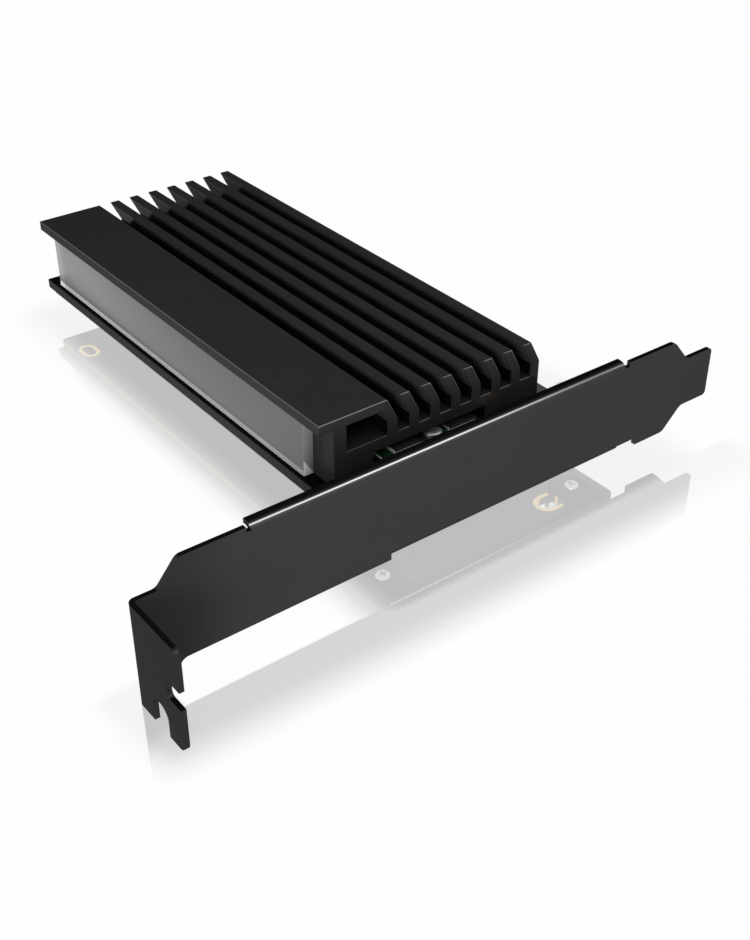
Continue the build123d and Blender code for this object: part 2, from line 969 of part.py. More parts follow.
def drive_screw():
    """Screw that holds the drive down on its standoff."""
    head = pin(drive_x, drive_y0, drive_top, drive_top + drive_head_height, drive_head_diameter)
    head = fillet(head.edges().group_by(Axis.Z)[-1], drive_head_height * head_edge_share)
    flange = pin(drive_x, drive_y0, drive_low, drive_top, drive_notch_diameter - 2 * pin_clearance)
    shank = pin(drive_x, drive_y0, board_low + plating_wall, drive_low, drive_screw_diameter)
    top = drive_top + drive_head_height
    recess = cross_recess(drive_x, drive_y0, top, drive_head_height, drive_screw_diameter, -1)
    return head + flange + shank - recess


def thermal_pad():
    """Soft pad between the drive's chips and the roof of the pocket."""
    rows = chip_rows()
    return block(
        drive_x - drive_width / 2 + pad_margin,
        drive_x + drive_width / 2 - pad_margin,
        rows[-1] - flash_length / 2,
        rows[0] + controller_side / 2,
        chip_top,
        pocket_roof,
    )


def regulator():
    """Voltage regulator with its wide tab, and its leads as separate solids."""
    x, y = strip_part_x, regulator_y
    w, l = regulator_width / 2, regulator_length / 2
    body = block(x - w, x + w, y - l, y + l, board_top, board_top + regulator_height)
    lead_top = board_top + lead_thickness
    leads = []
    for index in range(lead_count):
        lead_y = y + (index - (lead_count - 1) / 2) * lead_pitch
        half = lead_width / 2
        lead = block(x + w, x + w + lead_length, lead_y - half, lead_y + half, board_top, lead_top)
        leads.append(lead)
    half = lead_pitch / 2
    leads.append(block(x - w - lead_length, x - w, y - half, y + half, board_top, lead_top))
    return body, leads


def inductor():
    """Shielded inductor: round core in a square case."""
    half = inductor_side / 2
    case = block(
        strip_part_x - half,
        strip_part_x + half,
        inductor_y - half,
        inductor_y + half,
        board_top,
        board_top + inductor_height,
    )
    case = chamfer(case.edges().filter_by(Axis.Z), inductor_side * case_corner_share)
    well = pin(
        strip_part_x,
        inductor_y,
        board_top + inductor_height / 2,
        board_top + 2 * inductor_height,
        inductor_side - 2 * inductor_wall,
    )
    core = pin(
        strip_part_x,
        inductor_y,
        board_top + inductor_height / 2,
        board_top + inductor_height - inductor_wall / 2,
        inductor_side - 4 * inductor_wall,
    )
    return case - well, core


def tank_capacitor():
    """Aluminium can capacitor on its square base."""
    half = tank_capacitor_diameter / 2
    x, y = strip_part_x, tank_capacitor_y
    base = block(x - half, x + half, y - half, y + half, board_top, board_top + tank_capacitor_base)
    corners = base.edges().filter_by(Axis.Z).sort_by(Axis.Y)[:2]
    base = chamfer(corners, tank_capacitor_diameter * case_corner_share)
    can = pin(
        x, y, board_top + tank_capacitor_base, board_top + tank_capacitor_height, tank_capacitor_diameter
    )
    can = fillet(can.edges().group_by(Axis.Z)[-1], tank_capacitor_base / 3)
    return base, can


def strip_small_parts():
    """Capacitors and resistors along the uncovered strip of the board, with their end caps."""
    capacitors, resistors, caps = [], [], []
    first = inductor_y + inductor_side
    for index in range(strip_capacitor_count):
        y = first + index * small_part_pitch
        body, ends = two_terminal(
            strip_part_x, y, small_part_length, small_part_width, small_part_height, board_top
        )
        capacitors.append(body)
        caps += ends
    connector_end = edge_segments()[1][1]
    pitch = (clock_chip_y - clock_chip_side / 2 - connector_end) / (strip_resistor_count + 1)
    for index in range(strip_resistor_count):
        y = connector_end + (index + 1) * pitch
        body, ends = two_terminal(
            strip_part_x, y, small_part_length, small_part_width, resistor_height, board_top
        )
        resistors.append(body)
        caps += ends
    return capacitors, resistors, caps


def coupling_capacitors():
    """Row of small capacitors in the signal lines of the edge connector, with their end caps."""
    bodies, caps = [], []
    y0 = edge_y0 + edge_side_margin
    for index in range(coupling_count):
        for column in (-1, 1):
            body, ends = two_terminal(
                strip_part_x + column * (coupling_length + coupling_column_gap) / 2,
                y0 + (index + 0.5) * coupling_pitch,
                coupling_length,
                coupling_width,
                coupling_height,
                board_top,
            )
            bodies.append(body)
            caps += ends
    return bodies, caps


def clock_chip():
    """Small square chip near the far end of the board."""
    side = clock_chip_side
    return chip(strip_part_x, clock_chip_y, side, side, clock_chip_height, board_top)


def main():
    os.makedirs("parts", exist_ok=True)
    controller, memory, flash = drive_chips()
    drive_small, drive_small_caps = drive_capacitors()
    regulator_body, regulator_leads = regulator()
    inductor_case, inductor_core = inductor()
    tank_base, tank_can = tank_capacitor()
    capacitors, resistors, strip_caps = strip_small_parts()
    coupling, coupling_caps = coupling_capacitors()
    nodes = {
        "slot_bracket": [slot_bracket()],
        "bracket_screws": bracket_screws(),
        "bracket_nuts": bracket_nuts(),
        "board": [board()],
        "slot_rings": slot_rings(),
        "edge_contacts": edge_contacts(),
        "heatsink": [heatsink()],
        "heatsink_screws": heatsink_screws(),
        "light_guide": [light_guide()],
        "led_strip": [led_strip()],
        "leds": leds(),
        "led_pins": led_pins(),
        "ssd_board": [ssd_board()],
        "ssd_contacts": drive_contacts(),
        "ssd_controller": [controller],
        "ssd_memory": [memory],
        "ssd_flash_chips": flash,
        "ssd_end_parts": ssd_end_parts(),
        "ssd_capacitors": drive_small,
        "ssd_capacitor_ends": drive_small_caps,
        "card_socket": [socket()],
        "card_socket_tails": socket_tails(),
        "card_socket_tabs": socket_tabs(),
        "drive_standoff": [standoff()],
        "drive_screw": [drive_screw()],
        "thermal_pad": [thermal_pad()],
        "regulator": [regulator_body],
        "regulator_leads": regulator_leads,
        "inductor_case": [inductor_case],
        "inductor_core": [inductor_core],
        "tank_capacitor_base": [tank_base],
        "tank_capacitor_can": [tank_can],
        "strip_capacitors": capacitors,
        "strip_resistors": resistors,
        "strip_part_ends": strip_caps,
        "coupling_capacitors": coupling,
        "coupling_capacitor_ends": coupling_caps,
        "clock_chip": [clock_chip()],
    }
    for name, solids in nodes.items():
        one_node(name, solids)


main()
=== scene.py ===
"""Dressed model of an expansion card that carries a solid state drive under a finned heat sink.

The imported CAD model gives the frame. X runs along the slot bracket from its screw tab to its tongue, Y away
from the bracket along the card and Z up from the circuit board to the heat sink. Sizes in the classes are in
millimetres, and meshes are in metres.
"""

import json
import logging
import math
from dataclasses import dataclass, field, replace
from enum import Enum
from typing import Callable, Sequence

import bmesh
import bpy
from mathutils import Matrix, Vector

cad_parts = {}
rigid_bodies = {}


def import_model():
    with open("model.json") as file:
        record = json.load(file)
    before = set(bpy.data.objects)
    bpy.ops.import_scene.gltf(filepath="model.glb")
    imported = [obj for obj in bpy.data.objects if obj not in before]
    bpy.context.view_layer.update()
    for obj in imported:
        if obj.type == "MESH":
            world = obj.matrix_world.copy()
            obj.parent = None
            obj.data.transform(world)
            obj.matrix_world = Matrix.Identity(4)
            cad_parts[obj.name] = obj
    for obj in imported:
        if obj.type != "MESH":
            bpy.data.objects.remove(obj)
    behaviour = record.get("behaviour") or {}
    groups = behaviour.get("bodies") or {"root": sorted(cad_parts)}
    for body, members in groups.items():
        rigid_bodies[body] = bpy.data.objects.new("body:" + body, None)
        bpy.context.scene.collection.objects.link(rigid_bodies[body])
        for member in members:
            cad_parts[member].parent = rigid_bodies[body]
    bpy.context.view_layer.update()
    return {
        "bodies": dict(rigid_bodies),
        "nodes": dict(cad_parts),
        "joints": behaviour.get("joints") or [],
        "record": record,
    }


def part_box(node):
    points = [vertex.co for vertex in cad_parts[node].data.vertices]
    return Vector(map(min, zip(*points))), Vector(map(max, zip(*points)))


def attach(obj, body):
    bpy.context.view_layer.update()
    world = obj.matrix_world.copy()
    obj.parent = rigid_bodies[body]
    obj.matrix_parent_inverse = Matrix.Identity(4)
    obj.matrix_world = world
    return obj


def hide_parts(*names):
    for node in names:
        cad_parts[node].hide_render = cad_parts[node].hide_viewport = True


log = logging.getLogger("adapter_card")

MM = 0.001
BODY = "root"
SHARP_ANGLE = 35.0
SIDE_TILT = 0.3
NODE_WIDTH = 220
NODE_HEIGHT = 320
NODES_IN_ROW = 8

Point = tuple[float, float]
Colour = tuple[float, float, float]
Piece = bpy.types.Object
Socket = bpy.types.NodeSocket
Given = Socket | float | Sequence[float]


# Working with meshes


def metres(x: float, y: float, z: float) -> Vector:
    """Point of the card's frame in metres.

    Args:
        x: Place along the bracket in millimetres.
        y: Place along the card in millimetres.
        z: Height in millimetres.

    Returns:
        The same point in metres.
    """
    return Vector((x * MM, y * MM, z * MM))


@dataclass(frozen=True)
class Span:
    """Room between two corners, in metres."""

    low: Vector
    high: Vector

    @property
    def middle(self) -> Vector:
        """Point halfway between the corners.

        Returns:
            The point in metres.
        """
        return (self.low + self.high) / 2

    @property
    def size(self) -> Vector:
        """Length along each axis.

        Returns:
            The three lengths in metres.
        """
        return self.high - self.low

    def axis_at(self, height: float) -> Vector:
        """Point on the room's upright axis.

        Args:
            height: The point's height in metres.

        Returns:
            The point in metres.
        """
        return Vector((self.middle.x, self.middle.y, height))


def span_of(node: str) -> Span:
    """Room that a CAD node takes.

    Args:
        node: Name of the CAD node.

    Returns:
        The node's room in metres.
    """
    low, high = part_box(node)
    return Span(low, high)


def put_down() -> None:
    """Leaves edit mode and deselects every object."""
    active = bpy.context.view_layer.objects.active
    if active is not None and active.mode != "OBJECT":
        bpy.ops.object.mode_set(mode="OBJECT")
    bpy.ops.object.select_all(action="DESELECT")


def hold(piece: Piece) -> None:
    """Makes a piece the only selected one, and the active one.

    Args:
        piece: The mesh object to work on.
    """
    put_down()
    piece.select_set(True)
    bpy.context.view_layer.objects.active = piece


def take_up(piece: Piece) -> None:
    """Opens a piece in edit mode with its whole mesh selected.

    Args:
        piece: The mesh object to work on.
    """
    hold(piece)
    bpy.ops.object.mode_set(mode="EDIT")
    bpy.ops.mesh.select_mode(type="VERT")
    bpy.ops.mesh.select_all(action="SELECT")


def settle(piece: Piece, angle: float = SHARP_ANGLE) -> Piece:
    """Puts a piece's place into its mesh and shades it smooth up to an angle.

    Args:
        piece: The mesh object.
        angle: Widest angle in degrees that is shaded smooth.

    Returns:
        The same object, at the origin, unturned and unscaled.
    """
    hold(piece)
    bpy.ops.object.transform_apply(location=True, rotation=True, scale=True)
    bpy.ops.object.shade_smooth_by_angle(angle=math.radians(angle))
    return piece


def soften(piece: Piece, width: float, segments: int = 2, angle: float = 40.0) -> Piece:
    """Rounds a piece's sharp edges with a bevel.

    Args:
        piece: The mesh object.
        width: Width of the bevel in millimetres.
        segments: Facets across the bevel.
        angle: Smallest angle in degrees between two faces whose edge is rounded.

    Returns:
        The same object.
    """
    hold(piece)
    bevel = piece.modifiers.new("edge_rounding", "BEVEL")
    bevel.width = width * MM
    bevel.segments = segments
    bevel.limit_method = "ANGLE"
    bevel.angle_limit = math.radians(angle)
    bevel.use_clamp_overlap = True
    bevel.miter_outer = "MITER_ARC"
    bpy.ops.object.modifier_apply(modifier=bevel.name)
    settle(piece)
    level = piece.modifiers.new("level_faces", "WEIGHTED_NORMAL")
    level.keep_sharp = True
    bpy.ops.object.modifier_apply(modifier=level.name)
    return piece


def block(name: str, room: Span, rounding: float, segments: int = 2) -> Piece:
    """Block that fills a room, with rounded edges.

    Args:
        name: Name of the new object.
        room: Room that the block fills.
        rounding: Radius of its edges in millimetres, or 0 for sharp ones.
        segments: Facets across each rounded edge.

    Returns:
        The new object, settled.
    """
    put_down()
    bpy.ops.mesh.primitive_cube_add(size=1.0, location=room.middle)
    piece = bpy.context.view_layer.objects.active
    piece.name = name
    take_up(piece)
    bpy.ops.transform.resize(value=tuple(room.size), center_override=tuple(room.middle))
    if rounding > 0:
        bpy.ops.mesh.bevel(offset=rounding * MM, segments=segments, profile=0.5, affect="EDGES")
    return settle(piece)


def drawn(name: str, points: Sequence[Vector]) -> Piece:
    """Line drawn point by point, left open in edit mode.

    Args:
        name: Name of the new object.
        points: The line's points in order, in metres.

    Returns:
        The new object.
    """
    put_down()
    bpy.ops.mesh.primitive_plane_add(size=MM, location=points[0])
    piece = bpy.context.view_layer.objects.active
    piece.name = name
    take_up(piece)
    bpy.ops.mesh.merge(type="CENTER")
    for start, end in zip(points, points[1:]):
        bpy.ops.mesh.extrude_region_move(TRANSFORM_OT_translate={"value": tuple(end - start)})
    bpy.ops.mesh.select_all(action="SELECT")
    return piece


def prism(name: str, points: Sequence[Vector], depth: Vector) -> Piece:
    """Bar whose closed outline is pulled out to its depth.

    Args:
        name: Name of the new object.
        points: Corners of the outline in order, in metres.
        depth: How far and which way the outline is pulled, in metres.

    Returns:
        The new object, settled.
    """
    piece = drawn(name, points)
    bpy.ops.mesh.edge_face_add()
    bpy.ops.mesh.extrude_region_move(TRANSFORM_OT_translate={"value": tuple(depth)})
    bpy.ops.mesh.select_all(action="SELECT")
    bpy.ops.mesh.normals_make_consistent(inside=False)
    return settle(piece)


def section_along_y(name: str, outline: Sequence[Point], y0: float, y1: float) -> Piece:
    """Bar with an outline in X and Z, between two places along the card.

    Args:
        name: Name of the new object.
        outline: Corners as X and Z pairs in millimetres.
        y0: Where the bar starts.
        y1: Where the bar ends.

    Returns:
        The new object.
    """
    return prism(name, [metres(x, y0, z) for x, z in outline], metres(0, y1 - y0, 0))


def plan_along_z(name: str, outline: Sequence[Point], z0: float, z1: float) -> Piece:
    """Plate with an outline in X and Y, between two heights.

    Args:
        name: Name of the new object.
        outline: Corners as X and Y pairs in millimetres.
        z0: Its low face.
        z1: Its high face.

    Returns:
        The new object.
    """
    return prism(name, [metres(x, y, z0) for x, y in outline], metres(0, 0, z1 - z0))


def turned(name: str, profile: Sequence[Point], foot: Vector, steps: int = 32, direction: float = 1.0) -> Piece:
    """Round piece spun from half a section about an upright axis.

    Args:
        name: Name of the new object.
        profile: Radius and height pairs in millimetres, starting and ending on the axis or closed as a ring.
        foot: Foot of the axis in metres.
        steps: Facets round the axis.
        direction: 1 where the profile's heights run up, or -1 where they run down.

    Returns:
        The new object, settled.
    """
    piece = drawn(name, [foot + Vector((r * MM, 0, direction * h * MM)) for r, h in profile])
    if profile[0][0] > 0:
        bpy.ops.mesh.edge_face_add()
        bpy.ops.mesh.delete(type="ONLY_FACE")
        bpy.ops.mesh.select_all(action="SELECT")
    bpy.ops.mesh.spin(steps=steps, angle=math.tau, center=tuple(foot), axis=(0, 0, 1))
    bpy.ops.mesh.select_all(action="SELECT")
    bpy.ops.mesh.remove_doubles(threshold=0.0002 * MM)
    bpy.ops.mesh.normals_make_consistent(inside=False)
    return settle(piece)


def cut(piece: Piece, *tools: Piece) -> Piece:
    """Cuts tools out of a piece and throws them away.

    Args:
        piece: The mesh object that stays.
        tools: Solids whose room is taken out of it.

    Returns:
        The same object.
    """
    for tool in tools:
        hold(piece)
        boolean = piece.modifiers.new("cut", "BOOLEAN")
        boolean.operation = "DIFFERENCE"
        boolean.solver = "EXACT"
        boolean.object = tool
        bpy.ops.object.modifier_apply(modifier=boolean.name)
        put_down()
        tool.select_set(True)
        bpy.ops.object.delete()
    return piece


def twin(piece: Piece, name: str, shift: Vector, turn: float = 0.0) -> Piece:
    """Copy of a piece with its own mesh, moved and turned about its own middle.

    Args:
        piece: The mesh object to copy.
        name: Name of the copy.
        shift: How far the copy moves, in metres.
        turn: Turn about the upright axis in degrees.

    Returns:
        The copy.
    """
    copy = bpy.data.objects.new(name, piece.data.copy())
    bpy.context.scene.collection.objects.link(copy)
    corners = [Vector(corner) for corner in piece.bound_box]
    middle = sum(corners, Vector()) / len(corners)
    spin = Matrix.Rotation(math.radians(turn), 4, "Z")
    about = Matrix.Translation(middle) @ spin @ Matrix.Translation(-middle)
    copy.data.transform(Matrix.Translation(shift) @ about)
    return copy


def joined(name: str, parts: Sequence[Piece]) -> Piece:
    """One object made of several parts' meshes.

    Args:
        name: Name of the joined object.
        parts: The objects to join.

    Returns:
        The joined object, settled.
    """
    put_down()
    for part in parts:
        part.select_set(True)
    bpy.context.view_layer.objects.active = parts[0]
    if len(parts) > 1:
        bpy.ops.object.join()
    whole = bpy.context.view_layer.objects.active
    whole.name = name
    return settle(whole)


def filled(name: str, rooms: Sequence[Span], rounding: float, segments: int = 1) -> Piece:
    """Rounded blocks in several rooms, modelled once for each size and copied to the other rooms.

    Args:
        name: Name of the joined object.
        rooms: The rooms to fill.
        rounding: Radius of the edges in millimetres.
        segments: Facets across each rounded edge.

    Returns:
        One object with all the blocks.
    """
    made: dict[tuple[int, ...], tuple[Piece, Span]] = {}
    parts = []
    for index, room in enumerate(rooms):
        size = tuple(round(edge * 1e6) for edge in room.size)
        if size in made:
            first, home = made[size]
            parts.append(twin(first, f"{name}_{index}", room.middle - home.middle))
            continue
        piece = block(f"{name}_{index}", room, rounding, segments)
        made[size] = (piece, room)
        parts.append(piece)
    return joined(name, parts)


def repeated(name: str, first: Piece, places: Sequence[Vector], turn: float = 0.0) -> Piece:
    """A piece copied to several places and joined.

    Args:
        name: Name of the joined object.
        first: The piece, which stands at the first place.
        places: All the places in metres.
        turn: How far each copy is turned more than the one before it, in degrees.

    Returns:
        One object with the piece and its copies.
    """
    copies = [
        twin(first, f"{name}_{index}", place - places[0], turn * index)
        for index, place in enumerate(places[1:], 1)
    ]
    return joined(name, [first, *copies])


_frame: dict[str, dict[str, Piece]] = {}


def node_object(node: str) -> Piece:
    """A CAD node's object.

    Args:
        node: Name of the CAD node.

    Returns:
        The object that holds its mesh.
    """
    return _frame["nodes"][node]


def copy_of_node(name: str, node: str) -> Piece:
    """Piece with a CAD node's shape, its triangles merged into clean faces.

    Args:
        name: Name of the new object.
        node: Name of the CAD node.

    Returns:
        The new object, settled.
    """
    piece = bpy.data.objects.new(name, node_object(node).data.copy())
    bpy.context.scene.collection.objects.link(piece)
    piece.data.materials.clear()
    take_up(piece)
    bpy.ops.mesh.remove_doubles(threshold=0.001 * MM)
    if piece.data.has_custom_normals:
        bpy.ops.mesh.customdata_custom_splitnormals_clear()
    bpy.ops.mesh.select_all(action="SELECT")
    bpy.ops.mesh.dissolve_limited(angle_limit=math.radians(0.6), delimit={"NORMAL"})
    return settle(piece)


def solids_in(node: str) -> list[Span]:
    """Room of each separate solid of a CAD node.

    Args:
        node: Name of the CAD node.

    Returns:
        One room for each solid, in order along Y and then X.
    """
    mesh = bmesh.new()
    mesh.from_mesh(node_object(node).data)
    bmesh.ops.remove_doubles(mesh, verts=mesh.verts, dist=0.0005 * MM)
    seen: set[int] = set()
    rooms = []
    mesh.verts.ensure_lookup_table()
    for first in mesh.verts:
        if first.index in seen:
            continue
        waiting, found = [first], []
        seen.add(first.index)
        while waiting:
            vertex = waiting.pop()
            found.append(vertex.co.copy())
            for edge in vertex.link_edges:
                other = edge.other_vert(vertex)
                if other.index not in seen:
                    seen.add(other.index)
                    waiting.append(other)
        low = Vector([min(point[i] for point in found) for i in range(3)])
        high = Vector([max(point[i] for point in found) for i in range(3)])
        rooms.append(Span(low, high))
    mesh.free()
    return sorted(rooms, key=lambda room: (round(room.middle.y, 5), round(room.middle.x, 5), room.middle.z))


# Finishes


@dataclass(frozen=True)
class Wiring:
    """Adds nodes to a shader node tree and joins them up."""

    tree: bpy.types.NodeTree

    def node(
        self, kind: str, given: dict[str | int, Given] | None = None, **settings: object
    ) -> bpy.types.Node:
        """Adds a node.

        Args:
            kind: Blender's type name of the node, without ShaderNode.
            given: A socket or a value for each input.
            settings: Properties to set on the node first.

        Returns:
            The new node.
        """
        count = len(self.tree.nodes)
        node = self.tree.nodes.new("ShaderNode" + kind)
        node.location = (NODE_WIDTH * (count % NODES_IN_ROW), -NODE_HEIGHT * (count // NODES_IN_ROW))
        for name, value in settings.items():
            setattr(node, name, value)
        for name, value in (given or {}).items():
            self.feed(node.inputs[name], value)
        return node

    def feed(self, socket: Socket, given: Given) -> None:
        """Gives an input a value, or joins it to another node.

        Args:
            socket: The input.
            given: The value, or the socket that gives it.
        """
        if isinstance(given, Socket):
            self.tree.links.new(given, socket)
        else:
            socket.default_value = (*given, 1.0) if socket.type == "RGBA" and len(given) == 3 else given

    def math(self, operation: str, first: Given, second: Given = 0.0, third: Given = 0.0) -> Socket:
        """Result of a calculation with up to three numbers.

        Args:
            operation: Blender's name of the calculation.
            first: The first number.
            second: The second number.
            third: The third number.

        Returns:
            The result's socket.
        """
        return self.node("Math", {0: first, 1: second, 2: third}, operation=operation).outputs[0]

    def product(self, *factors: Given) -> Socket:
        """Product of two or more numbers.

        Args:
            factors: The numbers.

        Returns:
            The product's socket.
        """
        whole = factors[0]
        for factor in factors[1:]:
            whole = self.math("MULTIPLY", whole, factor)
        return whole

    def remap(
        self, value: Given, start: Given, end: Given, low: float = 0.0, high: float = 1.0, kind: str = "LINEAR"
    ) -> Socket:
        """Number that goes from low to high while a value goes from start to end, and stays there beyond.

        Args:
            value: The value.
            start: Where the change starts.
            end: Where it ends.
            low: Result at the start.
            high: Result at the end.
            kind: Blender's name of the way between them.

        Returns:
            The result's socket.
        """
        given = {"Value": value, "From Min": start, "From Max": end, "To Min": low, "To Max": high}
        return self.node("MapRange", given, interpolation_type=kind).outputs["Result"]

    def mix(self, first: Given, second: Given, mask: Socket) -> Socket:
        """Mixes two colours by a mask.

        Args:
            first: The colour where the mask is 0.
            second: The colour where the mask is 1.
            mask: The mask.

        Returns:
            The mixed colour's socket.
        """
        given = {6: first, 7: second, "Factor": mask}
        return self.node("Mix", given, data_type="RGBA", clamp_factor=True).outputs[2]

    def place(self) -> Socket:
        """The point's place in the object.

        Returns:
            The place's socket.
        """
        return self.node("TexCoord").outputs["Object"]

    def facing(self) -> Socket:
        """The way that the face looks.

        Returns:
            The normal's socket.
        """
        return self.node("NewGeometry").outputs["Normal"]

    def split(self, vector: Socket) -> bpy.types.NodeOutputs:
        """The parts of a vector.

        Args:
            vector: The vector.

        Returns:
            Sockets X, Y and Z.
        """
        return self.node("SeparateXYZ", {"Vector": vector}).outputs

    def noise(self, vector: Socket, scale: Socket, **settings: float) -> Socket:
        """Cloudy noise.

        Args:
            vector: Where it is read.
            scale: How fine it is.
            settings: Its other inputs.

        Returns:
            The noise's socket, from 0 to 1.
        """
        return self.node("TexNoise", {"Vector": vector, "Scale": scale, **settings}).outputs["Fac"]


@dataclass
class Effects:
    """Shader node groups that the finishes share. The places tell the sides of the heat sink apart."""

    left_side_x: float = -13.0
    front_rise: Point = (-5.0, 8.0)
    groups: dict[str, bpy.types.NodeTree] = field(default_factory=dict)

    def build(self) -> None:
        """Builds every group once."""
        self._add("worn_edges", self._worn_edges, Radius=0.0002, Breakup=400.0, Cover=0.5)
        self._add("grain", self._grain, Scale=3000.0, Along_X=1.0, Along_Y=1.0, Along_Z=1.0)
        self._add("clouds", self._clouds, Scale=60.0, Contrast=0.5)
        self._add("dust", self._dust, Scale=2500.0, Amount=0.3)
        self._add("painted_light_masks", self._painted_light_masks, Strength=1.0, Low=0.1, High=0.35, Below=0.1)

    def _add(
        self,
        name: str,
        fill: Callable[[Wiring, bpy.types.NodeOutputs], dict[str, Socket]],
        **inputs: float,
    ) -> None:
        """Adds a group of nodes.

        Args:
            name: Name of the group.
            fill: Adds the nodes between the inputs and the outputs.
            inputs: Usual value of each input.
        """
        group = bpy.data.node_groups.new(name, "ShaderNodeTree")
        for label, value in inputs.items():
            socket = group.interface.new_socket(name=label, in_out="INPUT", socket_type="NodeSocketFloat")
            socket.default_value = value
        wiring = Wiring(group)
        results = fill(wiring, group.nodes.new("NodeGroupInput").outputs)
        for label in results:
            group.interface.new_socket(name=label, in_out="OUTPUT", socket_type="NodeSocketFloat")
        out = group.nodes.new("NodeGroupOutput")
        out.location = (NODE_WIDTH * (NODES_IN_ROW + 1), 0)
        for label, result in results.items():
            wiring.feed(out.inputs[label], result)
        self.groups[name] = group

    def use(self, wiring: Wiring, name: str, **values: float) -> bpy.types.NodeOutputs:
        """Puts a group into a material.

        Args:
            wiring: The material's wiring.
            name: Name of the group.
            values: The group's inputs.

        Returns:
            The group's outputs.
        """
        return wiring.node("Group", values, node_tree=self.groups[name]).outputs

    @staticmethod
    def _worn_edges(wiring: Wiring, given: bpy.types.NodeOutputs) -> dict[str, Socket]:
        """Mask that is 1 on rubbed outer edges, broken up by noise.

        Args:
            wiring: The group's wiring.
            given: The group's inputs.

        Returns:
            The group's outputs by name.
        """
        rounded = wiring.node("Bevel", {"Radius": given["Radius"]}, samples=4).outputs["Normal"]
        turn = wiring.node("VectorMath", {0: rounded, 1: wiring.facing()}, operation="DOT_PRODUCT")
        noise = wiring.noise(wiring.place(), given["Breakup"], Detail=4.0)
        low = wiring.math("SUBTRACT", 1.0, given["Cover"])
        patch = wiring.remap(noise, low, wiring.math("ADD", low, 0.25))
        return {"Mask": wiring.product(wiring.remap(turn.outputs["Value"], 0.99, 0.8), patch)}

    @staticmethod
    def _grain(wiring: Wiring, given: bpy.types.NodeOutputs) -> dict[str, Socket]:
        """Fine grain that can be drawn out along one axis, and its lightest flecks.

        Args:
            wiring: The group's wiring.
            given: The group's inputs.

        Returns:
            The group's outputs by name.
        """
        along = wiring.node("CombineXYZ", {axis: given[f"Along_{axis}"] for axis in "XYZ"}).outputs["Vector"]
        scaled = wiring.node("VectorMath", {0: wiring.place(), 1: along}, operation="MULTIPLY")
        noise = wiring.noise(scaled.outputs["Vector"], given["Scale"], Detail=6.0, Roughness=0.6)
        return {"Height": noise, "Fleck": wiring.remap(noise, 0.55, 0.75)}

    @staticmethod
    def _clouds(wiring: Wiring, given: bpy.types.NodeOutputs) -> dict[str, Socket]:
        """Slow change over a surface, from 0 to 1.

        Args:
            wiring: The group's wiring.
            given: The group's inputs.

        Returns:
            The group's outputs by name.
        """
        noise = wiring.noise(wiring.place(), given["Scale"], Detail=3.0, Distortion=0.4)
        low = wiring.product(given["Contrast"], 0.5)
        return {"Mask": wiring.remap(noise, low, wiring.math("SUBTRACT", 1.0, low))}

    @staticmethod
    def _dust(wiring: Wiring, given: bpy.types.NodeOutputs) -> dict[str, Socket]:
        """Thin specks that lie on faces that look up.

        Args:
            wiring: The group's wiring.
            given: The group's inputs.

        Returns:
            The group's outputs by name.
        """
        up = wiring.remap(wiring.split(wiring.facing())["Z"], 0.5, 0.95)
        specks = wiring.noise(wiring.place(), given["Scale"], Detail=8.0, Roughness=0.75)
        return {"Mask": wiring.product(up, wiring.remap(specks, 0.56, 0.74), given["Amount"])}

    def _painted_light_masks(self, wiring: Wiring, given: bpy.types.NodeOutputs) -> dict[str, Socket]:
        """Masks of the painted highlight on the bevels round a sawn end, and of the faces that look each way for
        painted light and shade.

        The first takes in the bevels on the card's left only at the rim above a given height. Above that
        height Upward is 0. Leftward is the card's outer left side, and Inward the faces that look left within
        it. Frontward grows with height, and Overhang is what leans out over the grooves.

        Args:
            wiring: The group's wiring.
            given: The group's inputs.

        Returns:
            The group's outputs by name.
        """
        normal, place = wiring.split(wiring.facing()), wiring.split(wiring.place())
        under = wiring.math("LESS_THAN", place["Z"], given["Below"])
        over = wiring.math("GREATER_THAN", place["Z"], given["Below"])
        outside = wiring.math("LESS_THAN", place["X"], self.left_side_x * MM)
        rim = wiring.product(normal["X"], -0.5, over, outside)
        most = wiring.math("MAXIMUM", wiring.math("ABSOLUTE", normal["Y"]), rim)
        bevel = wiring.remap(wiring.product(most, normal["Z"]), given["Low"], given["High"])
        left = wiring.remap(normal["X"], -0.93, -0.99)
        outer = wiring.product(left, outside)
        front = wiring.remap(normal["Y"], -0.93, -0.99)
        height = wiring.remap(place["Z"], *(rise * MM for rise in self.front_rise))
        leaning = wiring.math("LESS_THAN", normal["X"], -0.8)
        # Mask carries the painted edge highlight; Upward and Inward carry painted shade, and Leftward, Frontward
        # and Overhang carry painted light.
        return {
            "Mask": wiring.product(bevel, given["Strength"]),
            "Upward": wiring.product(wiring.remap(normal["Z"], 0.8, 0.97), under),
            "Leftward": outer,
            "Inward": wiring.math("SUBTRACT", left, outer),
            "Frontward": wiring.product(front, height),
            "Overhang": wiring.product(wiring.remap(normal["Z"], -0.33, -0.4), leaning),
        }


class Grain(Enum):
    """Which way the fine lines of a surface run."""

    EVEN = (1.0, 1.0, 1.0)
    ALONG_CARD = (1.0, 0.02, 1.0)
    STRAND = (0.35, 0.35, 1.0)


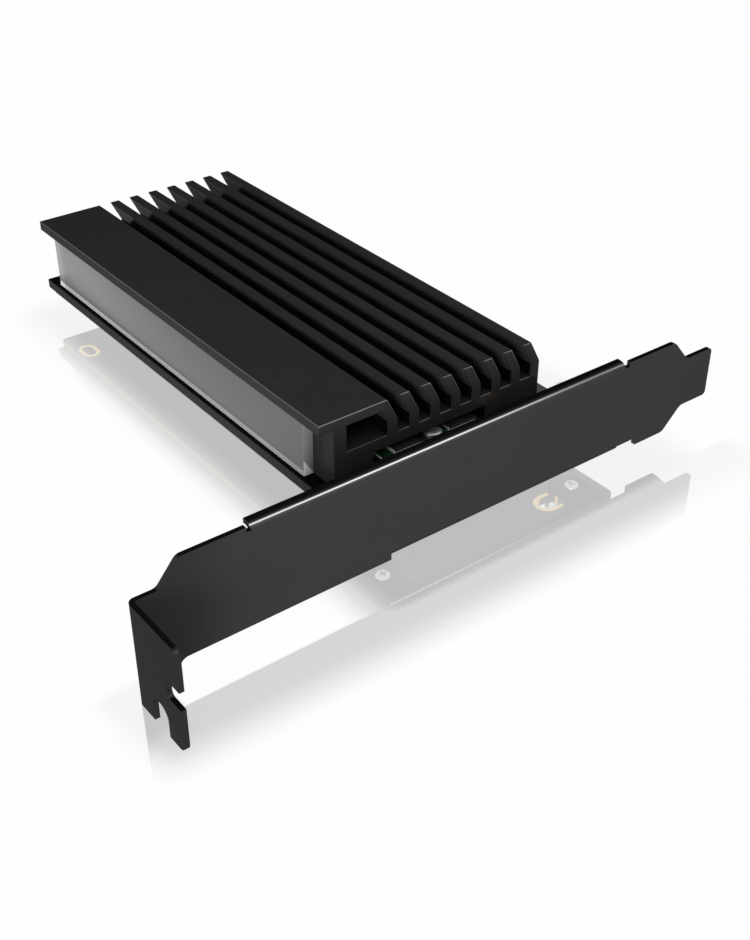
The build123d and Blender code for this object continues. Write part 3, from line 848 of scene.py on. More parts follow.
@dataclass(frozen=True)
class Finish:
    """Look of one material: its colours, its shine, its grain and its wear.

    The painted side shading gives painted light and shade: it multiplies the colour of the faces under a mask of
    the painted light group, in order. The edge highlight paints a light line on the bevels round sawn ends.
    """

    name: str
    colour: Colour
    deep_colour: Colour
    roughness: float
    roughness_spread: float = 0.08
    metallic: float = 0.0
    shine: float = 0.5
    edge_shine: float = 1.0
    coat: float = 0.0
    coat_roughness: float = 0.2
    grain: Grain = Grain.EVEN
    grain_scale: float = 3000.0
    grain_depth: float = 0.004
    cloud_scale: float = 60.0
    fleck_gain: float = 1.35
    worn_colour: Colour = (0.3, 0.3, 0.3)
    worn_radius: float = 0.12
    worn_cover: float = 0.5
    worn_breakup: float = 500.0
    dust: float = 0.05
    dust_colour: Colour = (0.42, 0.41, 0.39)
    # Painted highlight on the bevels round sawn ends: its strength, its band of normals and its colour.
    painted_edge_highlight: float = 0.0
    edge_highlight_band: Point = (0.1, 0.35)
    edge_highlight_colour: Colour = (0.24, 0.24, 0.242)
    # Painted light and shade on faces by the way they look, as mask and colour gain; upward_below is the height
    # under which faces that look up get it.
    painted_side_shading: tuple[tuple[str, float], ...] = ()
    upward_below: float = 100.0

    def build(self, effects: Effects) -> bpy.types.Material:
        """Builds the material.

        Args:
            effects: The shared node groups.

        Returns:
            The new material.
        """
        material = bpy.data.materials.new(self.name)
        material.use_nodes = True
        wiring = Wiring(material.node_tree)
        colour, height = self.surface(wiring, effects)
        radius, breakup, cover = self.worn_radius * MM, self.worn_breakup, self.worn_cover
        worn = effects.use(wiring, "worn_edges", Radius=radius, Breakup=breakup, Cover=cover)
        dust = effects.use(wiring, "dust", Amount=self.dust)
        colour = wiring.mix(colour, self.worn_colour, worn["Mask"])
        # Painted edge highlight, and painted light and shade by facing.
        if self.painted_edge_highlight > 0 or self.painted_side_shading:
            colour = self.shaded(wiring, effects, colour)
        smoothest = max(self.roughness - self.roughness_spread, 0.02)
        roughest = min(self.roughness + self.roughness_spread, 1.0)
        bump = wiring.node("Bump", {"Strength": 1.0, "Distance": self.grain_depth * MM, "Height": height})
        shader = material.node_tree.nodes["Principled BSDF"]
        shader.location = (NODE_WIDTH * (NODES_IN_ROW + 1), NODE_HEIGHT)
        out = material.node_tree.nodes["Material Output"]
        out.location = (NODE_WIDTH * (NODES_IN_ROW + 3), NODE_HEIGHT)
        values = {
            "Metallic": self.metallic,
            "Specular IOR Level": self.shine,
            "Specular Tint": (self.edge_shine,) * 3,
            "Coat Weight": self.coat,
            "Coat Roughness": self.coat_roughness,
            "Base Color": wiring.mix(colour, self.dust_colour, dust["Mask"]),
            "Roughness": wiring.remap(height, 0.0, 1.0, smoothest, roughest),
            "Normal": bump.outputs["Normal"],
        }
        for name, value in values.items():
            wiring.feed(shader.inputs[name], value)
        return material

    def shaded(self, wiring: Wiring, effects: Effects, colour: Socket) -> Socket:
        """Paints light and shade on the faces by the way they look, and paints a highlight on the bevels round
        sawn ends.

        Args:
            wiring: The material's wiring.
            effects: The shared node groups.
            colour: The colour's socket.

        Returns:
            The new colour's socket.
        """
        low, high = self.edge_highlight_band
        below = self.upward_below * MM
        masks = effects.use(wiring, "painted_light_masks", Strength=self.painted_edge_highlight, Low=low, High=high, Below=below)
        # Painted light and shade by facing, then the painted edge highlight.
        for side, gain in self.painted_side_shading:
            colour = wiring.mix(colour, tuple(part * gain for part in self.colour), masks[side])
        if self.painted_edge_highlight > 0:
            colour = wiring.mix(colour, self.edge_highlight_colour, masks["Mask"])
        return colour

    def surface(self, wiring: Wiring, effects: Effects) -> tuple[Socket, Socket]:
        """Colour and height of the unworn surface.

        Args:
            wiring: The material's wiring.
            effects: The shared node groups.

        Returns:
            The colour's socket and the height's socket.
        """
        x, y, z = self.grain.value
        grain = effects.use(wiring, "grain", Scale=self.grain_scale, Along_X=x, Along_Y=y, Along_Z=z)
        clouds = effects.use(wiring, "clouds", Scale=self.cloud_scale)
        slow = wiring.mix(self.colour, self.deep_colour, clouds["Mask"])
        lighter = tuple(min(part * self.fleck_gain + 0.002, 1.0) for part in self.colour)
        return wiring.mix(slow, lighter, grain["Fleck"]), grain["Height"]


@dataclass(frozen=True)
class MaskedBoard(Finish):
    """Solder mask of a circuit board, with the copper under it showing faintly."""

    copper_shade: Colour = (0.022, 0.026, 0.026)
    copper_step: float = 0.6
    track_scale: float = 420.0

    def surface(self, wiring: Wiring, effects: Effects) -> tuple[Socket, Socket]:
        """Colour and height of the mask over filled copper and gaps.

        Args:
            wiring: The material's wiring.
            effects: The shared node groups.

        Returns:
            The colour's socket and the height's socket.
        """
        base, height = super().surface(wiring, effects)
        given = {"Scale": self.track_scale, "Randomness": 0.35, "Vector": wiring.place()}
        cells = wiring.node("TexVoronoi", given, feature="DISTANCE_TO_EDGE", distance="CHEBYCHEV")
        copper = wiring.remap(cells.outputs["Distance"], 0.05, 0.09)
        stepped = wiring.math("MULTIPLY_ADD", copper, self.copper_step, height)
        return wiring.mix(base, self.copper_shade, copper), stepped


@dataclass(frozen=True)
class FoldedSheet(Finish):
    """Painted sheet with painted shade towards its folded tab, the tab's shadow, and a painted highlight along
    the outside of its fold.
    """

    # Painted shadow of the tab: its colour gain and where it fades in along X.
    painted_tab_shadow: float = 0.66
    tab_fade: Point = (-41.0, -56.0)
    # Painted highlight along the fold: band of normals, facing, grey, fade along X and start.
    fold_tilt: float = 0.793
    fold_band: Point = (0.07, 0.022)
    fold_facing: Point = (-0.4, -0.55)
    painted_fold_highlight: float = 0.45
    fold_fade: Point = (32.0, -12.0)
    fold_far_share: float = 0.2
    fold_start: Point = (-50.0, -48.0)

    def surface(self, wiring: Wiring, effects: Effects) -> tuple[Socket, Socket]:
        """Colour and height of the paint, with the tab's painted shadow towards the tab.

        Args:
            wiring: The material's wiring.
            effects: The shared node groups.

        Returns:
            The colour's socket and the height's socket.
        """
        base, height = super().surface(wiring, effects)
        # Painted shadow that the tab casts on the sheet near it.
        start, end = self.tab_fade
        near = wiring.remap(wiring.split(wiring.place())["X"], start * MM, end * MM, kind="SMOOTHSTEP")
        return wiring.mix(base, tuple(part * self.painted_tab_shadow for part in self.colour), near), height

    def shaded(self, wiring: Wiring, effects: Effects, colour: Socket) -> Socket:
        """Paints shade on what looks up and paints a highlight along the outside of a fold.

        Args:
            wiring: The material's wiring.
            effects: The shared node groups.
            colour: The colour's socket.

        Returns:
            The new colour's socket.
        """
        base = super().shaded(wiring, effects, colour)
        normal, x = wiring.split(wiring.facing()), wiring.split(wiring.place())["X"]
        off = wiring.math("SUBTRACT", wiring.math("ABSOLUTE", normal["Z"]), self.fold_tilt)
        (fade, full), (start, end) = self.fold_fade, self.fold_start
        bands = (
            (wiring.math("ABSOLUTE", off), *self.fold_band, 0.0),
            (normal["Y"], *self.fold_facing, 0.0),
            (x, fade * MM, full * MM, self.fold_far_share),
            (x, start * MM, end * MM, 0.0),
        )
        # Mask of the painted fold highlight.
        line = wiring.product(*(wiring.remap(*band, kind="SMOOTHSTEP") for band in bands))
        return wiring.mix(base, (self.painted_fold_highlight,) * 3, line)


@dataclass(frozen=True)
class FrostedBar(Finish):
    """Frosted clear bar whose colour carries painted light, lighter towards its far end and along its foot, with
    a painted light wedge on its near end.

    The stops give the share of the way along or up the bar, and the grey there.
    """

    reach: Point = (22.2, 112.8)
    rise: Point = (-4.6, 6.72)
    # Stops of painted light along the bar and up it.
    along: tuple[Point, ...] = (
        (0.0, 0.107), (0.1, 0.098), (0.22, 0.091), (0.42, 0.0914), (0.5, 0.096), (0.7, 0.111), (0.88, 0.134),
        (0.9535, 0.137), (0.9545, 0.15), (0.9735, 0.158), (0.9745, 0.215), (0.9865, 0.22), (0.9875, 0.24),
    )
    upward: tuple[Point, ...] = (
        (0.0, 0.8), (0.045, 0.7), (0.1, 0.68), (0.105, 0.192), (0.172, 0.19), (0.18, 0.2), (1.0, 0.2),
    )
    gain: float = 5.0
    # Painted grey of the near end face and its painted light wedge.
    end_facing: Point = (-0.6, -0.9)
    end_grey: float = 0.3
    painted_wedge_light: float = 0.92
    wedge_slope: float = 3.2 / 2.1
    wedge_edge: Point = (-24.86, -25.06)

    def surface(self, wiring: Wiring, effects: Effects) -> tuple[Socket, Socket]:
        """Colour and height of the bar, with painted light towards its far end, along its foot and in a wedge on
        its near end.

        Args:
            wiring: The material's wiring.
            effects: The shared node groups.

        Returns:
            The colour's socket and the height's socket.
        """
        cloudy, height = super().surface(wiring, effects)
        place = wiring.place()
        parts = wiring.split(place)
        length = self._ramp(wiring, parts["Y"], self.reach, self.along)
        rise = self._ramp(wiring, parts["Z"], self.rise, self.upward)
        side = wiring.node("VectorMath", {0: length, 1: rise}, operation="MULTIPLY").outputs["Vector"]
        side = wiring.node("VectorMath", {0: side, "Scale": self.gain}, operation="SCALE").outputs["Vector"]
        near = wiring.remap(wiring.split(wiring.facing())["Y"], *self.end_facing)
        given = {0: place, 1: (self.wedge_slope, 0.0, 1.0)}
        slant = wiring.node("VectorMath", given, operation="DOT_PRODUCT").outputs["Value"]
        wedge = wiring.remap(slant, *(edge * MM for edge in self.wedge_edge))
        end = wiring.mix((self.end_grey,) * 3, (self.painted_wedge_light,) * 3, wedge)
        whole = {0: wiring.mix(side, end, near), 1: cloudy}
        return wiring.node("VectorMath", whole, operation="MULTIPLY").outputs["Vector"], height

    @staticmethod
    def _ramp(wiring: Wiring, place: Socket, reach: Point, stops: Sequence[Point]) -> Socket:
        """Grey that changes along one axis.

        Args:
            wiring: The material's wiring.
            place: Place along the axis in metres.
            reach: Where the ramp starts and ends in millimetres.
            stops: Share of the way and grey of each stop.

        Returns:
            The ramp's colour socket.
        """
        share = wiring.remap(place, reach[0] * MM, reach[1] * MM)
        ramp = wiring.node("ValToRGB", {"Fac": share})
        points = ramp.color_ramp.elements
        points.remove(points[1])
        points[0].position, grey = stops[0]
        points[0].color = (grey, grey, grey, 1.0)
        for where, grey in stops[1:]:
            points.new(where).color = (grey, grey, grey, 1.0)
        return ramp.outputs["Color"]


class Look(Enum):
    """Every finish on the card."""

    BRACKET = FoldedSheet(
        "satin_black_powder_coat", (0.0395, 0.0395, 0.04), (0.037, 0.037, 0.0375), 0.15, 0.02,
        metallic=0.5, shine=0.0, edge_shine=0.45, grain_scale=5200.0, grain_depth=0.0003,
        worn_colour=(0.1, 0.1, 0.102), worn_radius=0.1, worn_cover=0.2, dust=0.01,
        # Painted shade on faces that look up.
        painted_side_shading=(("Upward", 0.12),),
    )
    SINK = Finish(
        "black_anodised_extrusion", (0.026, 0.026, 0.0264), (0.0235, 0.0235, 0.0238), 0.13, 0.03,
        metallic=0.35, shine=0.0, edge_shine=0.4, grain=Grain.ALONG_CARD, grain_scale=6500.0,
        grain_depth=0.0008, worn_colour=(0.14, 0.14, 0.142), worn_radius=0.06, worn_cover=0.35, dust=0.01,
        # Painted highlight on end bevels; painted light on the outer left, overhanging and front faces; painted
        # shade in the grooves and on the channel's floor.
        painted_edge_highlight=1.0, upward_below=-4.0, painted_side_shading=(
            ("Leftward", 1.6), ("Inward", 0.2), ("Overhang", 2.2), ("Frontward", 1.95), ("Upward", 0.25),
        ),
    )
    STEEL = Finish(
        "bright_plated_steel", (0.62, 0.62, 0.61), (0.5, 0.5, 0.49), 0.2, 0.06, metallic=1.0,
        grain_scale=9000.0, grain_depth=0.002, cloud_scale=300.0, worn_colour=(0.75, 0.75, 0.74), dust=0.04,
    )
    # Rougher copy of the plated steel, painted darker as shade for the drive's screw under the heat sink.
    DULL_STEEL = Finish(
        "plated_steel_with_painted_shade", (0.3, 0.3, 0.295), (0.22, 0.22, 0.215), 0.42, 0.08, metallic=0.9,
        grain_scale=9000.0, grain_depth=0.002, cloud_scale=300.0, worn_colour=(0.36, 0.36, 0.35), dust=0.04,
    )
    GOLD = Finish(
        "gold_plate", (0.83, 0.6, 0.26), (0.74, 0.52, 0.2), 0.25, 0.07, metallic=1.0,
        grain_scale=8000.0, grain_depth=0.0015, cloud_scale=300.0, worn_colour=(0.86, 0.66, 0.36), dust=0.03,
    )
    BOARD = MaskedBoard(
        "black_solder_mask", (0.0125, 0.0135, 0.014), (0.01, 0.011, 0.0115), 0.33, 0.07,
        shine=0.45, grain_scale=4200.0, grain_depth=0.008, worn_colour=(0.1, 0.09, 0.07), worn_radius=0.08,
        worn_cover=0.45, dust=0.03,
    )
    TRACK = Finish(
        "masked_track", (0.024, 0.028, 0.028), (0.02, 0.023, 0.023), 0.33, 0.07, shine=0.45, grain_scale=4200.0,
        grain_depth=0.004, worn_colour=(0.1, 0.09, 0.07), worn_radius=0.03, worn_cover=0.3, dust=0.03,
    )
    BOARD_CORE = Finish(
        "woven_glass_edge", (0.2, 0.165, 0.075), (0.13, 0.12, 0.05), 0.6, 0.1, grain=Grain.STRAND,
        grain_scale=9000.0, grain_depth=0.02, cloud_scale=500.0, worn_colour=(0.2, 0.17, 0.1),
    )
    GUIDE = FrostedBar(
        "frosted_guide_bar", (1.0, 1.0, 0.998), (0.94, 0.94, 0.938), 0.3, 0.06, shine=0.3,
        grain_scale=1500.0, grain_depth=0.0005, cloud_scale=25.0, worn_colour=(0.5, 0.5, 0.5),
        worn_radius=0.08, worn_cover=0.2, dust=0.01,
    )
    WHITE_MASK = Finish(
        "white_solder_mask", (0.75, 0.75, 0.73), (0.68, 0.68, 0.65), 0.35, 0.08, cloud_scale=200.0,
        worn_colour=(0.6, 0.58, 0.5),
    )
    DIODE = Finish(
        "diode_case", (0.85, 0.82, 0.62), (0.8, 0.76, 0.52), 0.3, 0.08, coat=0.3, cloud_scale=400.0,
        worn_colour=(0.9, 0.88, 0.75),
    )
    GREEN_MASK = MaskedBoard(
        "dark_green_solder_mask", (0.0025, 0.03, 0.009), (0.002, 0.024, 0.007), 0.32, 0.07, shine=0.5,
        grain_scale=4500.0, grain_depth=0.008, worn_colour=(0.3, 0.34, 0.2), worn_radius=0.08, worn_cover=0.6,
        copper_shade=(0.005, 0.046, 0.015), track_scale=700.0,
    )
    CHIP = Finish(
        "moulded_black_resin", (0.018, 0.018, 0.019), (0.013, 0.013, 0.0135), 0.6, 0.12, shine=0.4,
        grain_scale=11000.0, grain_depth=0.012, cloud_scale=150.0, worn_colour=(0.1, 0.1, 0.1),
        worn_radius=0.08, worn_cover=0.45,
    )
    TIN = Finish(
        "tinned_metal", (0.66, 0.66, 0.65), (0.52, 0.52, 0.5), 0.34, 0.12, metallic=1.0, grain_scale=6000.0,
        grain_depth=0.006, cloud_scale=700.0, worn_colour=(0.8, 0.8, 0.79),
    )
    # Brighter, less metallic copy of the tin: painted light for metal ends in the shade under the heat sink.
    SOLDER = Finish(
        "tin_with_painted_light", (0.92, 0.92, 0.91), (0.86, 0.86, 0.85), 0.3, 0.08, metallic=0.15, grain_scale=6000.0,
        grain_depth=0.003, cloud_scale=500.0, worn_colour=(0.95, 0.95, 0.94), dust=0.0,
    )
    SOCKET = Finish(
        "moulded_socket_plastic", (0.02, 0.02, 0.0205), (0.016, 0.016, 0.0165), 0.48, 0.1, shine=0.45,
        grain_scale=7000.0, grain_depth=0.01, worn_colour=(0.09, 0.09, 0.09), worn_radius=0.1,
    )
    NICKEL = Finish(
        "nickel_plate", (0.6, 0.57, 0.5), (0.5, 0.47, 0.41), 0.3, 0.08, metallic=1.0, grain_scale=8000.0,
        grain_depth=0.002, cloud_scale=400.0, worn_colour=(0.72, 0.66, 0.5),
    )
    PAD = Finish(
        "soft_thermal_pad", (0.36, 0.38, 0.41), (0.3, 0.32, 0.35), 0.85, 0.1, shine=0.2, grain_scale=2500.0,
        grain_depth=0.03, cloud_scale=120.0, worn_colour=(0.45, 0.47, 0.5), dust=0.1,
    )
    FERRITE = Finish(
        "sintered_ferrite", (0.075, 0.075, 0.078), (0.055, 0.055, 0.057), 0.75, 0.12, grain_scale=6000.0,
        grain_depth=0.03, cloud_scale=300.0, worn_colour=(0.17, 0.17, 0.17),
    )
    CAN = Finish(
        "bright_aluminium_can", (0.7, 0.71, 0.72), (0.6, 0.61, 0.62), 0.28, 0.08, metallic=1.0,
        grain_scale=8000.0, grain_depth=0.002, cloud_scale=250.0, worn_colour=(0.82, 0.82, 0.83),
    )
    CERAMIC = Finish(
        "tan_ceramic", (0.33, 0.22, 0.125), (0.27, 0.175, 0.095), 0.5, 0.1, grain_scale=9000.0,
        grain_depth=0.01, cloud_scale=600.0, worn_colour=(0.46, 0.34, 0.22), worn_radius=0.08,
    )
    GLAZE = Finish(
        "black_resistor_glaze", (0.014, 0.014, 0.016), (0.01, 0.01, 0.012), 0.25, 0.08, coat=0.4,
        grain_scale=7000.0, grain_depth=0.006, cloud_scale=500.0, worn_colour=(0.3, 0.3, 0.3),
    )
    PRINT = Finish(
        "white_print", (0.8, 0.8, 0.78), (0.72, 0.72, 0.7), 0.55, 0.08, grain_scale=6000.0,
        grain_depth=0.006, cloud_scale=400.0, worn_colour=(0.4, 0.4, 0.4),
    )


@dataclass
class Finishes:
    """Builds each material once and hands it out."""

    effects: Effects = field(default_factory=Effects)
    made: dict[Look, bpy.types.Material] = field(default_factory=dict)

    def of(self, look: Look) -> bpy.types.Material:
        """Material of a look, built when it is first asked for.

        Args:
            look: The look.

        Returns:
            Its material.
        """
        if not self.effects.groups:
            self.effects.build()
        if look not in self.made:
            self.made[look] = look.value.build(self.effects)
        return self.made[look]


# The studio


@dataclass(frozen=True)
class MirrorZone:
    """Part of the floor that mirrors. Each side has its place and the width of the fade beyond it."""

    share: float
    left: Point
    right: Point
    front: Point
    back: Point

    def mirrored(self, wiring: Wiring, place: bpy.types.NodeOutputs) -> Socket:
        """How much the zone mirrors, less past each of its sides.

        Args:
            wiring: The floor material's wiring.
            place: Sockets of the place's X and Y.

        Returns:
            The share's socket.
        """
        fades = []
        for axis, (edge, fade) in (
            ("X", (self.left[0], -self.left[1])),
            ("X", self.right),
            ("Y", (self.front[0], -self.front[1])),
            ("Y", self.back),
        ):
            high = self.share if not fades else 1.0
            fades.append(wiring.remap(place[axis], (edge + fade) * MM, edge * MM, 0.0, high, "SMOOTHSTEP"))
        return wiring.product(*fades)


@dataclass(frozen=True)
class Lamp:
    """Flat lamp that faces a point. Its places and its size are in millimetres and its power in watts."""

    name: str
    place: tuple[float, float, float]
    target: tuple[float, float, float]
    size: Point
    power: float

    def build(self) -> None:
        """Adds the lamp to the scene."""
        data = bpy.data.lights.new(self.name, "AREA")
        data.shape = "RECTANGLE"
        data.size = self.size[0] * MM
        data.size_y = self.size[1] * MM
        data.energy = self.power
        lamp = bpy.data.objects.new(self.name, data)
        place, target = metres(*self.place), metres(*self.target)
        lamp.location = place
        lamp.rotation_euler = (target - place).to_track_quat("-Z", "Y").to_euler()
        bpy.context.scene.collection.objects.link(lamp)


@dataclass
class Studio:
    """Pale glossy floor, soft lamps, white surround and the camera of the photograph."""

    floor_z: float = -14.0
    floor_reach: float = 3000.0
    floor_depth: float = 20.0
    floor_rounding: float = 5.0
    floor_grey: float = 0.82
    floor_light: float = 0.965
    camera_place: tuple[float, float, float] = (-119.655, -133.798, 124.399)
    camera_yaw: float = 37.408
    camera_pitch: float = 34.27
    camera_roll: float = 0.099
    lens: float = 51.52
    surround: float = 0.5
    mirror_zones: tuple[MirrorZone, ...] = (
        MirrorZone(0.5, (-15.0, 12.0), (48.0, 12.0), (-4.3, 6.0), (117.0, 12.0)),
        MirrorZone(0.345, (-60.0, 8.0), (60.0, 6.0), (-8.5, 10.0), (-4.4, 0.5)),
        MirrorZone(0.44, (-62.0, 6.0), (-56.5, 2.0), (-5.0, 11.0), (3.0, 3.0)),
    )
    lamps: tuple[Lamp, ...] = (
        Lamp("soft_top", (-100.0, 0.0, 800.0), (0.0, 50.0, 0.0), (800.0, 800.0), 1.6),
        Lamp("soft_left", (-700.0, -470.0, 170.0), (0.0, 20.0, 0.0), (500.0, 380.0), 8.0),
        Lamp("edge_light", (350.0, -350.0, 490.0), (0.0, 30.0, 0.0), (620.0, 300.0), 1.2),
    )

    def build(self) -> None:
        """Builds the camera, the surround, the lamps and the floor."""
        bpy.context.scene.view_settings.view_transform = "Standard"
        self._camera()
        self._surround()
        for lamp in self.lamps:
            lamp.build()
        self._floor()

    def _camera(self) -> None:
        """Places the camera where the photograph was taken from."""
        data = bpy.data.cameras.new("photo_camera")
        data.sensor_fit = "VERTICAL"
        data.sensor_height = 36.0
        data.lens = self.lens
        data.clip_start = 0.005
        camera = bpy.data.objects.new("photo_camera", data)
        yaw, pitch = math.radians(self.camera_yaw), math.radians(self.camera_pitch)
        level_part = math.cos(pitch)
        ahead = Vector((math.sin(yaw) * level_part, math.cos(yaw) * level_part, -math.sin(pitch)))
        level = Vector((math.cos(yaw), -math.sin(yaw), 0.0))
        up = level.cross(ahead)
        roll = math.radians(self.camera_roll)
        right = level * math.cos(roll) + up * math.sin(roll)
        up = right.cross(ahead)
        turn = Matrix((right, up, -ahead)).transposed()
        camera.matrix_world = Matrix.Translation(metres(*self.camera_place)) @ turn.to_4x4()
        bpy.context.scene.collection.objects.link(camera)
        bpy.context.scene.camera = camera

    def _surround(self) -> None:
        """White where the camera, metal and glass look, and softer where it lights the card."""
        world = bpy.data.worlds.new("white_surround")
        bpy.context.scene.world = world
        world.use_nodes = True
        wiring = Wiring(world.node_tree)
        shade = world.node_tree.nodes["Background"]
        path = wiring.node("LightPath").outputs
        seen = wiring.math("MAXIMUM", path["Is Camera Ray"], path["Is Glossy Ray"])
        clear = wiring.math("MAXIMUM", seen, path["Is Transmission Ray"])
        wiring.feed(shade.inputs["Color"], (1.0, 1.0, 1.0))
        wiring.feed(shade.inputs["Strength"], wiring.remap(clear, 0.0, 1.0, self.surround, 1.0))

    def _floor(self) -> None:
        """Adds the floor, a flat plate with a rounded rim."""
        reach, top = self.floor_reach, self.floor_z
        room = Span(metres(-reach, -reach, top - self.floor_depth), metres(reach, reach, top))
        floor = block("studio_floor", room, self.floor_rounding)
        floor.data.materials.append(self._floor_material())

    def _floor_material(self) -> bpy.types.Material:
        """White floor that mirrors what stands on it and lets the mirrored light fade out.

        Returns:
            The material.
        """
        material = bpy.data.materials.new("glossy_white_floor")
        material.use_nodes = True
        tree = material.node_tree
        tree.nodes.remove(tree.nodes["Principled BSDF"])
        wiring = Wiring(tree)
        path = wiring.node("LightPath").outputs
        seen = wiring.math("MAXIMUM", path["Is Camera Ray"], path["Is Glossy Ray"])
        paint = wiring.node("BsdfDiffuse", {"Color": (self.floor_grey,) * 3}).outputs["BSDF"]
        glow = wiring.node("Emission", {"Strength": 1.0}).outputs["Emission"]
        mirror = wiring.node("BsdfGlossy", {"Roughness": 0.0}).outputs["BSDF"]
        base = wiring.node("MixShader", {0: wiring.product(seen, self.floor_light), 1: paint, 2: glow})
        place = wiring.split(wiring.place())
        first, *others = (zone.mirrored(wiring, place) for zone in self.mirror_zones)
        for other in others:
            first = wiring.math("MAXIMUM", first, other)
        share = wiring.product(first, path["Is Camera Ray"])
        whole = wiring.node("MixShader", {0: share, 1: base.outputs["Shader"], 2: mirror})
        wiring.feed(tree.nodes["Material Output"].inputs["Surface"], whole.outputs["Shader"])
        return material


# The card


@dataclass
class Assembly:
    """Part of the card that builds its own pieces."""

    finishes: Finishes

    def build(self) -> None:
        """Builds and dresses every piece."""
        raise NotImplementedError

    def wear(self, piece: Piece, look: Look, slot: str, *stands_for: str) -> Piece:
        """Gives a finished piece its look, its body and the CAD nodes that it stands for.

        Args:
            piece: The finished object.
            look: Its look.
            slot: The record's material slot, which is only logged.
            stands_for: CAD nodes that it replaces.

        Returns:
            The same object.
        """
        piece.data.materials.clear()
        piece.data.materials.append(self.finishes.of(look))
        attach(piece, BODY)
        if stands_for:
            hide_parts(*stands_for)
        log.info("%s: %d faces, %s", piece.name, len(piece.data.polygons), slot)
        return piece

    def wear_sides(self, piece: Piece, look: Look) -> None:
        """Gives the faces round a dressed plate a second look.

        Args:
            piece: The dressed object.
            look: The look of its sides.
        """
        piece.data.materials.append(self.finishes.of(look))
        take_up(piece)
        bpy.ops.mesh.select_mode(type="FACE")
        bpy.ops.mesh.select_all(action="DESELECT")
        mesh = bmesh.from_edit_mesh(piece.data)
        for face in mesh.faces:
            face.select_set(abs(face.normal.z) < SIDE_TILT)
        bmesh.update_edit_mesh(piece.data)
        piece.active_material_index = len(piece.data.materials) - 1
        bpy.ops.object.material_slot_assign()
        put_down()
        log.info("%s: sides in %s", piece.name, look.value.name)

    def wear_node(self, node: str, look: Look) -> None:
        """Gives a CAD node that stays in sight its look.

        Args:
            node: Name of the CAD node.
            look: Its look.
        """
        thing, material = node_object(node), self.finishes.of(look)
        if not thing.material_slots:
            thing.data.materials.append(material)
        for place in thing.material_slots:
            place.link = "OBJECT"
            place.material = material
        log.info("%s: CAD solid kept, %s", node, material.name)

    def softened(
        self,
        node: str,
        name: str,
        look: Look,
        slot: str,
        rounding: float,
        segments: int = 2,
        angle: float = 50.0,
    ) -> Piece:
        """Builds a piece with a CAD node's shape and rounded edges.

        Args:
            node: CAD node that it stands for.
            name: Name of the new object.
            look: Its look.
            slot: The record's material slot.
            rounding: Radius of its edges in millimetres.
            segments: Facets across each rounded edge.
            angle: Smallest angle in degrees whose edge is rounded.

        Returns:
            The new object.
        """
        piece = soften(copy_of_node(name, node), rounding, segments, angle)
        return self.wear(piece, look, slot, node)


class Head(Enum):
    """Which way a screw's head looks."""

    UP = 1.0
    DOWN = -1.0


@dataclass(frozen=True)
class Screw:
    """Machine screw with a domed head, a cross recess and a threaded shank, some with a grooved neck.

    The dome is drawn by shares of the head's radius and height, and the neck by its height's share and depth.
    """

    head_radius: float
    head_height: float
    shank_radius: float
    shank_length: float
    recess_span: float
    pitch: float = 0.4
    blade: float = 0.5
    neck_radius: float = 0.0
    neck_height: float = 0.0
    dome: tuple[Point, ...] = ((1.0, 0.4), (0.97, 0.6), (0.89, 0.8), (0.76, 0.91), (0.5, 0.98), (0.0, 1.0))
    neck: tuple[Point, ...] = (
        (0.0, 0.0), (0.3, 0.0), (0.42, 0.12), (0.54, 0.0), (0.66, 0.12), (0.78, 0.0), (1.0, 0.0),
    )

    def make(self, name: str, seat: Vector, head: Head) -> Piece:
        """Makes the screw with the underside of its head at the seat.

        Args:
            name: Name of the new object.
            seat: Middle of the head's underside in metres.
            head: Which way the head looks.

        Returns:
            The new object.
        """
        r, h, n = self.head_radius, self.head_height, self.neck_height
        profile: list[Point] = [(0.0, -self.shank_length), (self.shank_radius * 0.72, -self.shank_length)]
        crest, root = self.shank_radius - 0.005, self.shank_radius * 0.86
        for index in range(int((self.shank_length - 0.3) / self.pitch)):
            low = -self.shank_length + 0.12 + index * self.pitch
            profile += [(root, low), (crest, low + self.pitch * 0.4), (crest, low + self.pitch * 0.55)]
        profile += [(root, -0.12), (root, 0.0)]
        if n > 0:
            profile += [(self.neck_radius - depth, n * share) for share, depth in self.neck]
        profile += [(r - 0.06, n), (r, n + 0.06)]
        profile += [(r * out, n + h * up) for out, up in self.dome]
        body = turned(name, profile, seat, 40, head.value)
        cut(body, *[self._blade(seat, head, across) for across in (False, True)])
        return soften(body, 0.03, 1, 50.0)

    def _blade(self, seat: Vector, head: Head, across: bool) -> Piece:
        """One arm of the cross recess, narrower at its foot.

        Args:
            seat: Middle of the head's underside in metres.
            head: Which way the head looks.
            across: Whether this is the arm along Y.

        Returns:
            The tool to cut with.
        """
        top = self.neck_height + self.head_height * 1.2
        foot = self.neck_height + self.head_height * 0.42
        half, deep = self.recess_span / 2, self.recess_span * 0.3
        tilt = self.blade / 2
        points = []
        for along, high in ((-half, top), (half, top), (deep, foot), (-deep, foot)):
            side = Vector((-tilt, along, 0)) if across else Vector((along, -tilt, 0))
            points.append(seat + (side + Vector((0, 0, high * head.value))) * MM)
        depth = Vector((2 * tilt, 0, 0)) if across else Vector((0, 2 * tilt, 0))
        return prism("recess_tool", points, depth * MM)


